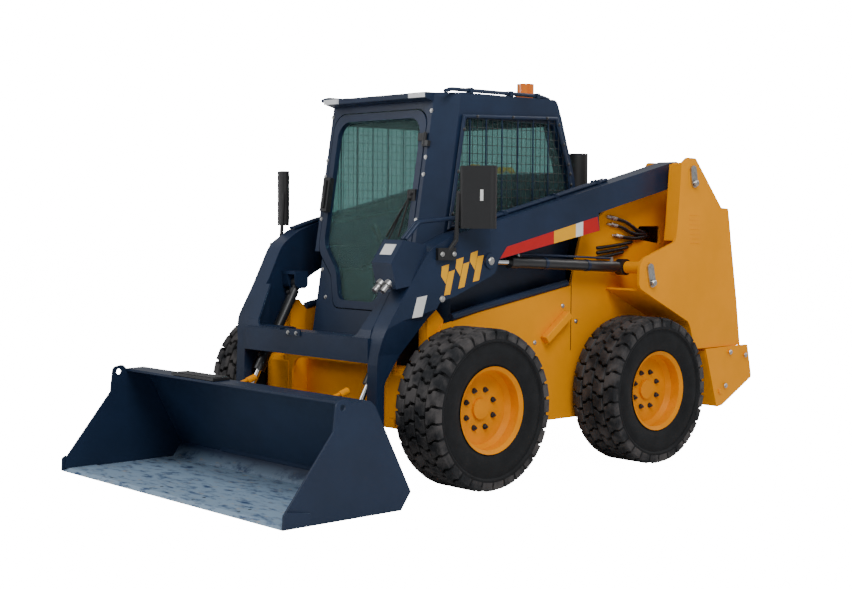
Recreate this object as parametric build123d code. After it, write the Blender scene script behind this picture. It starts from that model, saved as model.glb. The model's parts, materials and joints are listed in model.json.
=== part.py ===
# Skid steer loader with a radial lift arm, general purpose bucket and enclosed cab.
# Millimetres. X runs to the machine's left, the front (bucket) is towards -Y, and Z is up from the ground.
# Lengths along Y are counted from the middle of the wheelbase. place() then puts the origin on the ground
# under the middle of the whole length.
import os
from math import atan2, cos, degrees, hypot, pi, radians, sin, tan

from build123d import *

os.makedirs("parts", exist_ok=True)

# Wheels: 12-16.5 tyres on deep dish rims
wheelbase = 1307
tyre_r = 412
tyre_w = 300
lug_h = 20
lug_count = 12
rim_seat_r = 209.5
rim_lip_r = 222
rim_w = 268
disc_depth = 96
hub_r = 88
shaft_r = 38
housing_r = 72
run_fit = 0.05
seat_gap = 0.3

# Chassis tub
frame_half = 622
wheel_x = frame_half + 182
plate_t = 14
case_in = 430
case_top = 600
floor_z = 262
frame_front = -900
frame_back = 1440
firewall_y = 345

# Towers that carry the boom and the lift cylinders
tower_x = frame_half + 273
tower_t = 16
wall_t = 12
inner_x = frame_half - 16
pivot_y, pivot_z = 986, 1654
base_y, base_z = 613, 1099
pin_r = 22.5
lobe_r = 86

# Loader arms
arm_in = frame_half + 18
arm_out = arm_in + 120
arm_bend_y = -500
arm_nose_x = 645
arm_nose_y = -1000
leg_in = 528
leg_out = 602
hitch_y, hitch_z = -1130, 170
rod_eye_y, rod_eye_z = -501, 1154
arm_top_z = 1467
arm_rise = 0.238
tilt_y, tilt_z = -805, 1002
cross_front = -1127
cross_top = 771
cross_h = 125
cross_d = 110
side_clear = 6
coupler_r = 16
coupler_len = 34
coupler_fall = 40.5

# Cylinders
lift_x = (arm_in + arm_out) / 2
lift_barrel_r = 31
lift_rod_r = 18
lift_eye_w = 56
lift_eye_r = 42
lift_barrel_len = 919
lift_stroke = 766
tilt_x = 470
tilt_barrel_r = 28
tilt_rod_r = 16
tilt_eye_w = 46
tilt_eye_r = 32
tilt_barrel_len = 545
crank_r = 165
crank_deg = 111

# Hitch plate and bucket
hitch_lean = 10
hitch_gap = 130
hitch_t = 16
hitch_half = 560
ear_t = 14
bucket_half = 985
side_t = 12
edge_y = -1997
floor_t = 12
edge_t = 16
edge_back = -1797
edge_bolt_r = 9
edge_bolt_pitch = 380
edge_bolt_rows = (62, 125)
bucket_eye_y, bucket_eye_z = -1653, 516
bucket_eye_r = 16

# Cab
cab_half = 525
cab_wall = 30
roof_z = 2030
visor_y = -651
visor_half = 417
bevel = 0.843
visor_z = roof_z - 45
nose_half = 345
nose_top = 1180
nose_bottom = 600
door_half = 385
door_gap = 6
hinge_x = 401
hinge_out = 14
hinge_pin_r = 6
door_top = roof_z - 80
door_bottom = 872
door_t = 30
glass_t = 6

# Rear
bumper_back = 1568
tail_y = 1330
tail_t = 40
tail_half = 590
hood_z = 1432
hood_t = 24
hood_front = 770
hood_pin_r = 6
hood_axis_y = hood_front + 4
hood_axis_z = hood_z + 16
deck_front = 560
gate_hinge_x = -584
gate_hinge_y = 1386
gate_pin_r = 8
seam_z = 1000

overall_mid = (edge_y + bumper_back) / 2


def place(shape):
    return Pos(0, -overall_mid, 0) * shape


def save(name, *solids):
    pieces = [s for part in solids for s in part.solids()]
    shape = pieces[0] if len(pieces) == 1 else Compound(children=pieces)
    export_step(place(shape), f"parts/{name}.step")


def outline(points, radii=0):
    """Closed flat outline with its corners rounded; radii is one value or one for each corner."""
    return make_face(FilletPolyline(*points, radius=radii, close=True))


def side_plate(corners, x0, x1):
    """Plate seen from the side: corners are (y, z) or (y, z, radius), and it runs from x0 to x1."""
    points = [c[:2] for c in corners]
    radii = [c[2] if len(c) > 2 else 0 for c in corners]
    return extrude(Plane.YZ.offset(x0) * outline(points, radii), amount=x1 - x0)


def front_plate(corners, y0, y1):
    """Plate seen from the front: corners are (x, z) or (x, z, radius), and it runs from y0 to y1."""
    points = [c[:2] for c in corners]
    radii = [c[2] if len(c) > 2 else 0 for c in corners]
    plane = Plane(origin=(0, y0, 0), x_dir=(1, 0, 0), z_dir=(0, -1, 0))
    return extrude(plane * outline(points, radii), amount=-(y1 - y0))


def block(x0, x1, y0, y1, z0, z1):
    return Pos((x0 + x1) / 2, (y0 + y1) / 2, (z0 + z1) / 2) * Box(abs(x1 - x0), abs(y1 - y0), abs(z1 - z0))


def rod_x(y, z, r, x0, x1):
    """Round bar across the machine."""
    return Pos((x0 + x1) / 2, y, z) * Rot(0, 90, 0) * Cylinder(r, abs(x1 - x0))


def bar_between(a, b, r):
    """Round bar from point a to point b."""
    line = Line(a, b)
    return extrude(Plane(origin=a, z_dir=line % 0) * Circle(r), amount=line.length)


def mitred_tube(points, r, close=False):
    """Round tube along straight runs that meet in mitres."""
    line = Polyline(*points, close=close)
    start = Line(points[0], points[1])
    return sweep(Plane(origin=start @ 0, z_dir=start % 0) * Circle(r), path=line, transition=Transition.RIGHT)


def tube_path(points, r, bend):
    """Round tube along straight runs joined by round bends."""
    body = Part()
    for edge in FilletPolyline(*points, radius=bend).edges():
        start = Plane(origin=edge @ 0, z_dir=edge % 0) * Circle(r)
        if edge.geom_type == GeomType.LINE:
            body += extrude(start, amount=edge.length)
        else:
            turn = Axis(edge.arc_center, (edge % 0).cross(edge % 1))
            body += revolve(start, turn, degrees(edge.length / edge.radius))
    return body


def right_of(shape):
    return mirror(shape, about=Plane.YZ)


# Wheels


def ring_about_x(profile):
    """Turns a closed (x, radius) profile about the wheel's axis."""
    face = make_face(Polyline(*profile, close=True))
    return revolve(Plane.XZ * face, axis=Axis.X)


def tyre():
    half = tyre_w / 2
    base_r = tyre_r - lug_h
    bead = rim_seat_r + seat_gap
    inner = rim_w / 2 - 12
    body = ring_about_x([(-inner, bead), (inner, bead), (half, base_r), (-half, base_r)])
    lug = tread_lug(half, base_r)
    step = 360 / lug_count
    for k in range(lug_count):
        body += Rot(k * step, 0, 0) * lug
        body += Rot((k + 0.5) * step, 0, 0) * Rot(0, 0, 180) * lug
    return body


def tread_lug(half, base_r):
    """One lug, from the shoulder to a little past the middle, slanted along the tread."""
    wide = 68
    plane = Plane(origin=(0, 0, base_r - 16), x_dir=(1, 0, 0), z_dir=(0, 0, 1))
    foot = outline([(-14, -wide), (half - 6, -wide / 2), (half - 6, wide / 2), (-14, 0)])
    top = (tyre_r**2 - wide**2) ** 0.5
    return extrude(plane * foot, amount=top - base_r + 16)


def rim():
    """Deep dish rim with its disc, hub and shaft, turned in one piece."""
    lip = rim_w / 2
    seat = rim_seat_r
    well = 182
    face = lip - disc_depth
    outer = [(-lip, rim_lip_r), (-lip + 10, seat), (lip - 10, seat), (lip, rim_lip_r)]
    dish = [(lip - 14, seat - 8), (face + 26, seat - 8), (face, well), (face, 52), (face + 14, 52), (face + 14, 0)]
    shaft = [(frame_half + 18 - wheel_x, 0), (frame_half + 18 - wheel_x, shaft_r), (-52, shaft_r)]
    back = [(-52, hub_r), (face - 14, hub_r), (face - 14, well), (-lip + 14, seat - 8)]
    return ring_about_x(outer + dish + shaft + back)


def axle_housing():
    """Fixed tube that carries a wheel's shaft, bolted to the chain case."""
    end = wheel_x - 52 - 4
    tube = rod_x(0, 0, housing_r, frame_half, end)
    tube += rod_x(0, 0, housing_r + 24, frame_half, frame_half + 16)
    return tube - rod_x(0, 0, shaft_r + run_fit, frame_half + 14, end)


def wheels():
    tread, wheel, housing = tyre(), rim(), axle_housing()
    housings = []
    for end, y in (("front", -wheelbase / 2), ("rear", wheelbase / 2)):
        for side, turn in (("left", False), ("right", True)):
            at = Pos(wheel_x, y, tyre_r)
            for name, solid in (("tyre", tread), ("rim", wheel)):
                piece = at * solid
                save(f"{name}_{end}_{side}", right_of(piece) if turn else piece)
            tube = Pos(0, y, tyre_r) * housing
            housings.append(right_of(tube) if turn else tube)
    save("axle_housings", *housings)


# Chassis


def chassis():
    case = side_plate(
        [
            (frame_front, case_top - 30, 20),
            (frame_front, 340, 20),
            (frame_front + 90, floor_z, 30),
            (frame_back - 160, floor_z, 30),
            (frame_back, floor_z + 140, 20),
            (frame_back, case_top),
            (frame_front + 20, case_top, 20),
        ],
        case_in,
        frame_half,
    )
    upright = side_plate(
        [
            (-880, case_top - 20),
            (1100, case_top - 20),
            (1100, case_top),
            (1000, seam_z),
            (262, seam_z),
            (-456, 878),
            (-705, 826, 20),
            (-790, 700, 30),
        ],
        inner_x,
        frame_half,
    )
    stop = side_plate([(-800, 640), (-700, 640), (-690, 850), (-740, 905, 15), (-800, 890, 15)], 545, inner_x + 4)
    half = case + upright + stop
    body = half + right_of(half)
    body += block(-case_in - 5, case_in + 5, frame_front + 130, frame_back - 160, floor_z, floor_z + plate_t)
    arch = front_plate([(-470, 300), (470, 300), (470, 640), (-470, 640)], frame_front + 2, frame_front + 2 + plate_t)
    arch -= front_plate(
        [(-400, 290), (400, 290), (400, 600, 90), (-400, 600, 90)], frame_front - 10, frame_front + 50
    )
    body += arch
    body += block(-case_in - 5, case_in + 5, -770, -770 + plate_t, floor_z + 2, case_top)
    body += block(-case_in - 5, case_in + 5, firewall_y, firewall_y + plate_t, floor_z + 2, case_top)
    body += block(-case_in - 5, case_in + 5, frame_back - 170, frame_back - 150, floor_z + 2, case_top)
    for side in (-1, 1):
        body += block(side * (inner_x + 4), side * case_in, firewall_y, firewall_y + plate_t, case_top - 4, 1000)
    return body


def engine():
    return block(-300, 300, 420, 1180, floor_z + plate_t, 1050)


def tower():
    front_edge = [(846, 1262), (858, 1340), (886, 1688, 8)]
    top = [(940, 1724, 25), (1016, 1722, 25), (1266, 1440, 8), (1333, 1436, 10), (1350, 1345)]
    rear_edge = [(1372, 1210), (1430, 892), (1470, 622)]
    lower = [(1033, 622), (986, 753, 20), (967, 784, 20), (base_y - lobe_r, 989, 45)]
    lobe = [(base_y - lobe_r, 1144, lobe_r - 8), (838, 1243, 40)]
    edge = front_edge + top + rear_edge + lower + lobe
    outer = side_plate(edge, tower_x - tower_t, tower_x)
    inner = side_plate(
        [
            (262, seam_z),
            (345, 1281, 20),
            (581, 1440, 40),
            (900, 1500, 60),
            (918, 1700, 30),
            (1045, 1700, 30),
            (1266, 1440, 8),
            (1333, 1436, 10),
            (1372, 1210),
            (frame_back, case_top + 60),
            (frame_back, case_top),
            (1100, case_top),
            (1000, seam_z),
        ],
        inner_x,
        frame_half,
    )
    inner -= side_plate([(790, 1260, 15), (850, 1330, 15), (1040, 1330, 15), (1040, 1225, 15)], inner_x - 1, frame_half + 1)
    back = [(1171, 1552), (1266, 1440), (1333, 1436), (1350, 1345), (1372, 1210), (1430, 892), (1470, 622)]
    under = [(1033, 622), (986, 753), (967, 784), (625, 943), (560, 972)]
    walls = wall_along(back, frame_half - 2) + wall_along(under, frame_half)
    flange = side_plate(
        [(846, 1250), (858, 1340), (886, 1686), (900, 1686), (872, 1338), (862, 1262)], tower_x - 88, tower_x - tower_t + 2
    )
    body = outer + inner + walls + flange + tower_boss()
    for y, z in ((pivot_y, pivot_z), (base_y, base_z)):
        body -= rod_x(y, z, pin_r, inner_x - 10, tower_x + 10)
    return body


def wall_along(run, x0):
    """Plate that follows a tower's edge from x0 out to the outer plate; the run keeps it on its right."""
    strip = offset(Polyline(*run), amount=wall_t, side=Side.RIGHT, closed=True, kind=Kind.INTERSECTION)
    return extrude(Plane.YZ.offset(x0) * make_face(strip), amount=tower_x - tower_t + 2 - x0)


def tower_boss():
    bosses = Part()
    for y, z in ((pivot_y, pivot_z), (base_y, base_z)):
        bosses += rod_x(y, z, pin_r + 16, frame_half - 2, frame_half + 10)
    gap = lift_x + lift_eye_w / 2 + side_clear
    bosses += rod_x(base_y, base_z, pin_r + 12, gap, tower_x - 2)
    bosses += rod_x(pivot_y, pivot_z, pin_r + 22, arm_out + side_clear, tower_x - 2)
    return bosses


def tower_pins():
    """Pins through the towers, each with a flag that a bolt keeps from turning."""
    pins = []
    for (y, z), (fy, fz) in (((pivot_y, pivot_z), (999, 1579)), ((base_y, base_z), (632, 1017))):
        pin = rod_x(y, z, pin_r - run_fit, inner_x - 6, tower_x + 4)
        length = hypot(fy - y, fz - z)
        angle = degrees(atan2(fz - z, fy - y))
        flag = Plane.YZ.offset(tower_x + seat_gap) * Pos((y + fy) / 2, (z + fz) / 2) * Rot(0, 0, angle) * SlotCenterToCenter(length, 52)
        pin += extrude(flag, amount=11)
        pin += rod_x(fy, fz, 11, tower_x + 8, tower_x + 22)
        pins += [pin, right_of(pin)]
    return pins


def rear_bumper():
    side = side_plate(
        [
            (1118, 617),
            (1527, 623, 8),
            (bumper_back, 443, 8),
            (bumper_back, 424, 8),
            (1283, 276, 12),
            (1232, 270, 8),
        ],
        tower_x + seat_gap,
        tower_x + seat_gap + 14,
    )
    for y, z in ((1344, 592), (1494, 565), (1256, 360)):
        side += rod_x(y, z, 13, tower_x + 12, tower_x + 26)
    web = side_plate([(1120, 604), (1232, 272), (1245, 276), (1134, 604)], frame_half + 10, tower_x + 4)
    half = side + web
    body = half + right_of(half)
    near = frame_back
    beam = side_plate([(near, 612), (1524, 612), (1560, 440), (1560, 428), (near, 362)], -tower_x - 4, tower_x + 4)
    beam -= side_plate([(near + 14, 598), (1512, 598), (1544, 442), (1544, 436), (near + 14, 378)], -tower_x + 6, tower_x - 6)
    return body + beam


# Loader arms


def arm_top(y):
    """Height of the arm's straight top edge."""
    return arm_top_z + y * arm_rise


def arm_side():
    """The arm's outline from the side."""
    return [
        (pivot_y + 88, arm_top(pivot_y + 88), 55),
        (pivot_y + 62, pivot_z - 84, 55),
        (501, 1443),
        (333, 1403),
        (345, 1307, 8),
        (rod_eye_y + 66, 1162),
        (rod_eye_y + 38, rod_eye_z - 62, 50),
        (-710, 974),
        (-790, 950, 40),
        (-840, 856, 60),
        (-1010, 645, 60),
        (hitch_y + 50, 545, 60),
        (hitch_y + 50, hitch_z - 54, 50),
        (hitch_y - 54, hitch_z - 54, 50),
        (hitch_y - 54, hitch_z + 70, 50),
        (hitch_y - 5, 330),
        (cross_front, 640),
        (-1108, 800, 250),
        (-935, 1075),
        (-850, 1215, 200),
        (-700, 1292, 200),
        (-521, arm_top(-521)),
    ]


def arm_plan():
    """The arm from above: its walls turn in towards the front."""
    rear = 1200
    points = [
        (arm_in, rear),
        (arm_out, rear),
        (arm_out, arm_bend_y),
        (arm_nose_x, arm_nose_y),
        (arm_nose_x - 32, -1300),
        (leg_in, -1300),
        (leg_in, -960),
        (arm_in, -560),
    ]
    return extrude(make_face(Polyline(*points, close=True)), amount=2000)


def arm():
    body = side_plate(arm_side(), leg_in, arm_out) & arm_plan()
    body &= front_plate(
        [(leg_in, 60), (leg_out, 60), (leg_out, 690), (arm_nose_x, 860), (arm_out, 1000), (arm_out, 1800), (leg_in, 1800)],
        -1300,
        1200,
    )
    eye_gap = lift_eye_w / 2 + side_clear
    wide = eye_gap + 8
    above = [(333, 1403), (-134, 1293), (-420, 1230)]
    body -= side_plate([(-440, 960), (380, 1200)] + above + [(-440, 1225)], lift_x - wide, lift_x + wide)
    body -= side_plate([(-556, 960), (-400, 1000), (-400, 1225), (-556, 1210)], lift_x - eye_gap, lift_x + eye_gap)
    body += rod_x(rod_eye_y, rod_eye_z, 40, arm_out - 18, arm_out + 6)
    body -= rod_x(pivot_y, pivot_z, pin_r, arm_in - 5, arm_out + 5)
    body -= rod_x(hitch_y, hitch_z, pin_r + run_fit, leg_in - 5, leg_out + 5)
    body += rod_x(pivot_y, pivot_z, pin_r + 22, arm_in - 4, arm_in + 2) - rod_x(pivot_y, pivot_z, pin_r, arm_in - 9, arm_in + 9)
    return body + tilt_bracket()


def tilt_bracket():
    """Two lugs and a bridge on the arm's inner wall that hold a tilt cylinder's base."""
    near = tilt_x + tilt_eye_w / 2 + side_clear
    far = tilt_x - tilt_eye_w / 2 - side_clear
    lug_shape = [(tilt_y - 50, tilt_z + 66), (tilt_y - 40, tilt_z - 30, 30), (tilt_y + 40, tilt_z - 30, 30), (tilt_y + 40, tilt_z + 66)]
    body = side_plate(lug_shape, far - 14, far) + side_plate(lug_shape, near, 600)
    body += side_plate(
        [(tilt_y - 50, tilt_z + 50), (tilt_y + 40, tilt_z + 50), (tilt_y + 40, tilt_z + 66), (tilt_y - 50, tilt_z + 66)],
        far - 14,
        620,
    )
    pin = rod_x(tilt_y, tilt_z, 20, far - 16, near + 2)
    return body + pin


def cross_member():
    low = cross_top - cross_h
    body = side_plate(
        [(cross_front, low), (cross_front, cross_top), (cross_front + cross_d, cross_top), (cross_front + 66, low)],
        -leg_in,
        leg_in,
    )
    web = gusset()
    body += web + right_of(web)
    body += block(-510, -215, cross_front + 8, cross_front + 118, cross_top - 4, cross_top + 6)
    body += block(-150, -20, cross_front - 8, cross_front + 2, cross_top - 24, cross_top + 12)
    return body


def gusset():
    """Curved web between a leg and the cross member, leaning back with the leg's front."""
    t = 12
    lean = [(cross_front + 6, cross_top - 20), (-1102, 812), (-984, 1000)]
    strip = lean + [(y + t, z) for y, z in reversed(lean)]
    front = front_plate(
        [
            (leg_in, cross_top - 14),
            (leg_in, 1000),
            (leg_in - 38, 1000),
            (leg_in - 102, cross_top + 4, 60),
            (leg_in - 230, cross_top - 8),
            (leg_in - 236, cross_top - 14),
        ],
        -1300,
        -900,
    )
    return side_plate(strip, 0, leg_in) & front


def coupler_box(lift_arm):
    """Housing of the auxiliary hydraulic couplers on the left leg, cut to fit the arm."""
    shape = side_plate([(-850, 1235), (-1005, 1264), (-1085, 1150), (-1049, 1020), (-915, 1040), (-850, 1150)], 505, 655)
    return shape - lift_arm


def quick_couplers(box):
    """Plugs that point forward and down over the bucket, each with a groove behind its nose."""
    pieces = []
    a = radians(coupler_fall)
    ahead = (0, -cos(a), -sin(a))
    for x, y in ((545, -1020), (605, -1020)):
        root = Plane(origin=(x, y, 1075), z_dir=ahead)
        plug = extrude(root * Circle(coupler_r + 8), amount=62) - box
        plug += extrude(root.offset(60) * Circle(coupler_r - 4), amount=12)
        pieces.append(plug + extrude(root.offset(70) * Circle(coupler_r), amount=coupler_len))
    return pieces


def mirrors():
    head = Pos(817, -648, 1479) * Rot(0, 0, 30) * fillet(Box(190, 52, 316).edges().filter_by(Axis.Z), 25)
    run = (arm_out - arm_nose_x, arm_bend_y - arm_nose_y, 0)
    wall = Plane(origin=(arm_out, arm_bend_y, 0), x_dir=run, z_dir=(run[1], -run[0], 0))
    clamp = extrude(wall * Pos(-272, 1192) * Rectangle(104, 62), amount=26)
    x = 736
    stem = mitred_tube([(713, -766, 1195), (x, -722, 1262), (x, -706, 1500), (790, -660, 1500)], 11)
    piece = head + stem + clamp
    return [piece, right_of(piece)]


def arm_pipes():
    """Pipes along the arms' tops; the left ones rise over the elbow to the coupler box."""
    pieces = []
    r = 10
    rise = r + seat_gap
    start = arm_top(-400) + rise
    for x in (662, 690):
        rear = [(x, -400, start), (x, 474, arm_top(474) + rise)]
        over = [(x - 52, -975, 1264.5), (x - 52, -884, 1352), (x - 12, -610, 1378)]
        pieces.append(tube_path(over + rear, r, 40))
        low = [(x, -690, 1296 + rise), (x, -521, arm_top(-521) + rise + 0.8)]
        pieces.append(right_of(tube_path(low + rear[1:], r, 100)))
    return pieces


# Cylinders, each built along its own axis from the base eye and then turned into place


def on_line(shape, x, base, tip):
    """Places a shape built along +Z from the origin so that it runs from base towards tip at x."""
    angle = degrees(atan2(tip[1] - base[1], tip[0] - base[0]))
    return Pos(x, base[0], base[1]) * Rot(angle - 90, 0, 0) * shape


def eye(r, w):
    return Rot(0, 90, 0) * Cylinder(r, w)


def cylinder_along(start, end, r):
    return Pos(0, 0, (start + end) / 2) * Cylinder(r, end - start)


def barrel(length, r, wall, rod_r, eye_r, eye_w, bore_r):
    body = eye(eye_r, eye_w) + cylinder_along(eye_r * 0.6, eye_r + 16, eye_w / 2 - 1)
    body += cylinder_along(eye_r + 14, length, r)
    body += cylinder_along(length - 55, length, r + 4)
    for z in (eye_r + 44, length - 80):
        body += Pos(0, r, z) * Rot(90, 0, 0) * Cylinder(11, 24)
    body -= cylinder_along(eye_r + 24, length - 34, r - wall)
    body -= cylinder_along(length - 35, length + 1, rod_r + run_fit)
    return body - eye(bore_r, eye_w + 2)


def piston_rod(start, reach, r, piston_r, eye_r, eye_w):
    body = cylinder_along(start, reach, r) + cylinder_along(start, start + 28, piston_r)
    body += Pos(0, 0, reach) * eye(eye_r, eye_w)
    return body


def lift_cylinder():
    base, tip = (base_y, base_z), (rod_eye_y, rod_eye_z)
    reach = hypot(tip[0] - base[0], tip[1] - base[1])
    wall = 5
    tube = barrel(lift_barrel_len, lift_barrel_r, wall, lift_rod_r, lift_eye_r + 4, lift_eye_w, pin_r + run_fit)
    rod = piston_rod(84, reach, lift_rod_r, lift_barrel_r - wall - 0.3, lift_eye_r, lift_eye_w)
    return on_line(tube, lift_x, base, tip), on_line(rod, lift_x, base, tip)


def crank_point():
    a = radians(crank_deg)
    return hitch_y + crank_r * cos(a), hitch_z + crank_r * sin(a)


def tilt_cylinder():
    base, tip = (tilt_y, tilt_z), crank_point()
    reach = hypot(tip[0] - base[0], tip[1] - base[1])
    wall = 5
    tube = barrel(tilt_barrel_len, tilt_barrel_r, wall, tilt_rod_r, tilt_eye_r, tilt_eye_w, 20 + run_fit)
    rod = piston_rod(150, reach, tilt_rod_r, tilt_barrel_r - wall - 0.3, tilt_eye_r, tilt_eye_w)
    return on_line(tube, tilt_x, base, tip), on_line(rod, tilt_x, base, tip)


def cylinders():
    for name, (tube, rod) in (("lift", lift_cylinder()), ("tilt", tilt_cylinder())):
        save(f"{name}_barrel_left", tube)
        save(f"{name}_barrel_right", right_of(tube))
        save(f"{name}_rod_left", rod)
        save(f"{name}_rod_right", right_of(rod))


# Hitch and bucket


def on_hitch(forward, up):
    """Point (y, z) given as distances ahead of the hitch pin and up along the leaning hitch plate."""
    a = radians(hitch_lean)
    return (hitch_y - forward * cos(a) - up * sin(a), hitch_z - forward * sin(a) + up * cos(a))


def hitch_plate():
    back = hitch_gap - hitch_t
    low, high = -36, 300
    plate = side_plate(
        [on_hitch(back, low), on_hitch(hitch_gap, low), on_hitch(hitch_gap, high), on_hitch(back, high)],
        -hitch_half,
        hitch_half,
    )
    window = [on_hitch(back - 5, 105), on_hitch(hitch_gap + 5, 105), on_hitch(hitch_gap + 5, 275), on_hitch(back - 5, 275)]
    crank = crank_point()
    near = tilt_x + tilt_eye_w / 2 + side_clear
    far = tilt_x - tilt_eye_w / 2 - side_clear
    crank_ear = [on_hitch(back + 2, 290), (crank[0] + 20, crank[1] + 42, 20), (crank[0] + 50, crank[1] - 20, 20), on_hitch(back + 2, 20)]
    pivot_ear = [
        on_hitch(back + 2, 200),
        (hitch_y + 40, hitch_z + 60, 20),
        (hitch_y + 52, hitch_z - 44, 45),
        (hitch_y - 30, hitch_z - 62, 30),
        on_hitch(back + 2, -34),
    ]
    half = side_plate(crank_ear, far - ear_t, far)
    half += side_plate(crank_ear, near, near + ear_t)
    half += side_plate(pivot_ear, near, near + ear_t)
    half += side_plate(pivot_ear, leg_out + 8, leg_out + 8 + ear_t)
    half += rod_x(hitch_y, hitch_z, pin_r, near + 2, leg_out + 8 + ear_t + 8)
    half += rod_x(crank[0], crank[1], 26, far - ear_t - 6, far - 2)
    wing = side_plate(
        [on_hitch(back, low), on_hitch(hitch_gap, low), on_hitch(hitch_gap, 210), on_hitch(back, 210)],
        hitch_half - 4,
        leg_out + 8 + ear_t + 6,
    )
    half += wing
    cut = side_plate(window, far, near)
    top = side_plate(
        [on_hitch(back - 8, high), on_hitch(hitch_gap - 2, high + 16), on_hitch(hitch_gap - 2, high - 4), on_hitch(back - 8, high - 4)],
        -hitch_half,
        hitch_half,
    )
    return plate + top + half + right_of(half) - cut - right_of(cut)


def hitch_levers():
    pieces = []
    back = hitch_gap - hitch_t
    a = on_hitch(back - 20.2, 250)
    b = on_hitch(back - 34, 320)
    c = (-1150, 500)
    x = 400
    bar = mitred_tube([(x, *a), (x, *b), (x, *c)], 9)
    bar += Pos(x, *a) * Rot(0, 90, 0) * Cylinder(20, 30)
    bar += bar_between((x, c[0] - 52, c[1] - 18), (x, *c), 18)
    return [bar, right_of(bar)]


def bucket_points():
    """Outer corners of the bucket's side, from the heel round the back to the top lip and the front."""
    return {
        "heel": (-1300, 0),
        "heel_top": (-1239, 83),
        "back_top": (-1462, 508),
        "lip_back": (-1493, 534),
        "lip_front": (-1606, 531),
        "side_low": (-1975, 76),
    }


def bucket_ear():
    """Corners of the raised ear round the lifting eye at the side's top corner."""
    y, z = bucket_eye_y, bucket_eye_z
    p = bucket_points()
    foot_y = y - 52
    slope = (p["lip_front"][1] - p["side_low"][1]) / (p["lip_front"][0] - p["side_low"][0])
    return [(y + 26, z + 38, 22), (y - 36, z + 28, 30), (foot_y, p["lip_front"][1] + (foot_y - p["lip_front"][0]) * slope)]


def bucket_shell():
    p = bucket_points()
    rear = [p[n] for n in ("heel", "heel_top", "back_top", "lip_back", "lip_front")]
    side = rear + bucket_ear() + [p["side_low"], (-1984, edge_t), (edge_back, edge_t), (edge_back, 0)]
    body = side_plate(side, bucket_half - side_t, bucket_half)
    body -= rod_x(bucket_eye_y, bucket_eye_z, bucket_eye_r, bucket_half - 50, bucket_half + 10)
    body += right_of(body)
    inner = [(-1606, 519), (-1499, 522), (-1471, 503), (-1253, 86), (-1308, floor_t), (edge_back, floor_t)]
    body += side_plate([(edge_back, 0)] + rear + inner, -bucket_half, bucket_half)
    return body + bucket_mount()


def bucket_mount():
    """Frame on the bucket's back that the hitch plate hooks into."""
    face = hitch_gap + seat_gap
    t = 12
    plate = side_plate(
        [on_hitch(face, -60), on_hitch(face + t, -60), on_hitch(face + t, 318), on_hitch(face, 318)], -hitch_half, hitch_half
    )
    p = bucket_points()
    web = [
        on_hitch(face + 2, -38),
        on_hitch(face + 2, 316),
        (p["back_top"][0] + 20, p["back_top"][1] - 30),
        (p["heel_top"][0] - 6, p["heel_top"][1] + 6),
    ]
    for x in (-hitch_half, -190, 178, hitch_half - 12):
        plate += side_plate(web, x, x + 12)
    return plate


def cutting_edge():
    shape = [(edge_y, 3), (edge_y + 6, 0), (edge_back, 0), (edge_back, edge_t), (edge_y + 34, edge_t)]
    body = side_plate(shape, -bucket_half, bucket_half)
    for back in edge_bolt_rows:
        for k in (-1.5, -0.5, 0.5, 1.5):
            body -= Pos(k * edge_bolt_pitch, edge_y + back, 0) * Cylinder(edge_bolt_r, 3 * edge_t)
    return body


def side_cutters():
    shape = [(edge_y, 4), (edge_y + 4, 70), (-1975, 82), (-1845, 60), (-1845, 4)]
    piece = side_plate(shape, bucket_half + seat_gap, bucket_half + 12)
    return [piece, right_of(piece)]


def bucket_step():
    return block(-520, -130, -1604, -1500, 534.3, 548)


# Cab


def front_y(z):
    """The cab's front leans forward going down."""
    return -606 - (1896 - z) * 0.164


def cab_shell():
    side = [
        (visor_y, roof_z, 10),
        (visor_y, roof_z - 30, 5),
        (front_y(visor_z), visor_z),
        (front_y(nose_bottom), nose_bottom),
        (330, nose_bottom),
        (330, 1150),
        (430, 1400),
        (391, 1604),
        (282, roof_z - 100, 60),
        (240, roof_z, 40),
    ]
    body = side_plate(side, -cab_half, cab_half)
    w = cab_wall
    hollow = [
        (front_y(visor_z) + w + 10, visor_z),
        (front_y(nose_bottom) + w + 10, nose_bottom + w),
        (330 - w, nose_bottom + w),
        (330 - w, 1150),
        (430 - w, 1400),
        (391 - w, 1604),
        (250, roof_z - 105),
        (220, visor_z),
    ]
    body -= side_plate(hollow, -cab_half + w, cab_half - w) - corner_wedge(w / bevel * 1.3)
    for side_x in (-1, 1):
        body -= block(side_x * nose_half, side_x * 700, -1000, -560, nose_bottom - 10, nose_top)
        body += block(side_x * (nose_half - w), side_x * (cab_half - 2), -560, -560 + w, nose_bottom, nose_top + 2)
        body += side_plate(
            [(front_y(nose_top) + 4, nose_top), (front_y(nose_top + w) + 4, nose_top + w), (-530, nose_top + w), (-530, nose_top)],
            side_x * (nose_half - w),
            side_x * (cab_half - 1),
        )
        body += side_plate(
            [
                (front_y(nose_bottom) + 2, nose_bottom),
                (front_y(nose_top) + 2, nose_top + 2),
                (-535, nose_top + 2),
                (-535, nose_bottom),
            ],
            side_x * (nose_half - w),
            side_x * nose_half,
        )
    body -= extrude(Plane.YZ.offset(-cab_half - 5) * side_window_shape(), amount=2 * cab_half + 10)
    body -= side_plate(rear_glass_shape(32, 308, -60, 40), -400, 400)
    body -= corner_wedge(0)
    return body - door_cutter(door_half + door_gap, door_top + door_gap, door_bottom - door_gap, 8)


def side_window_shape():
    top, back = roof_z - 135, 128
    points = [(front_y(top) + back, top), (front_y(1335) + back, 1335), (360, 1470), (335, 1600), (215, top)]
    return outline(points, [60, 50, 30, 30, 60])


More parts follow.
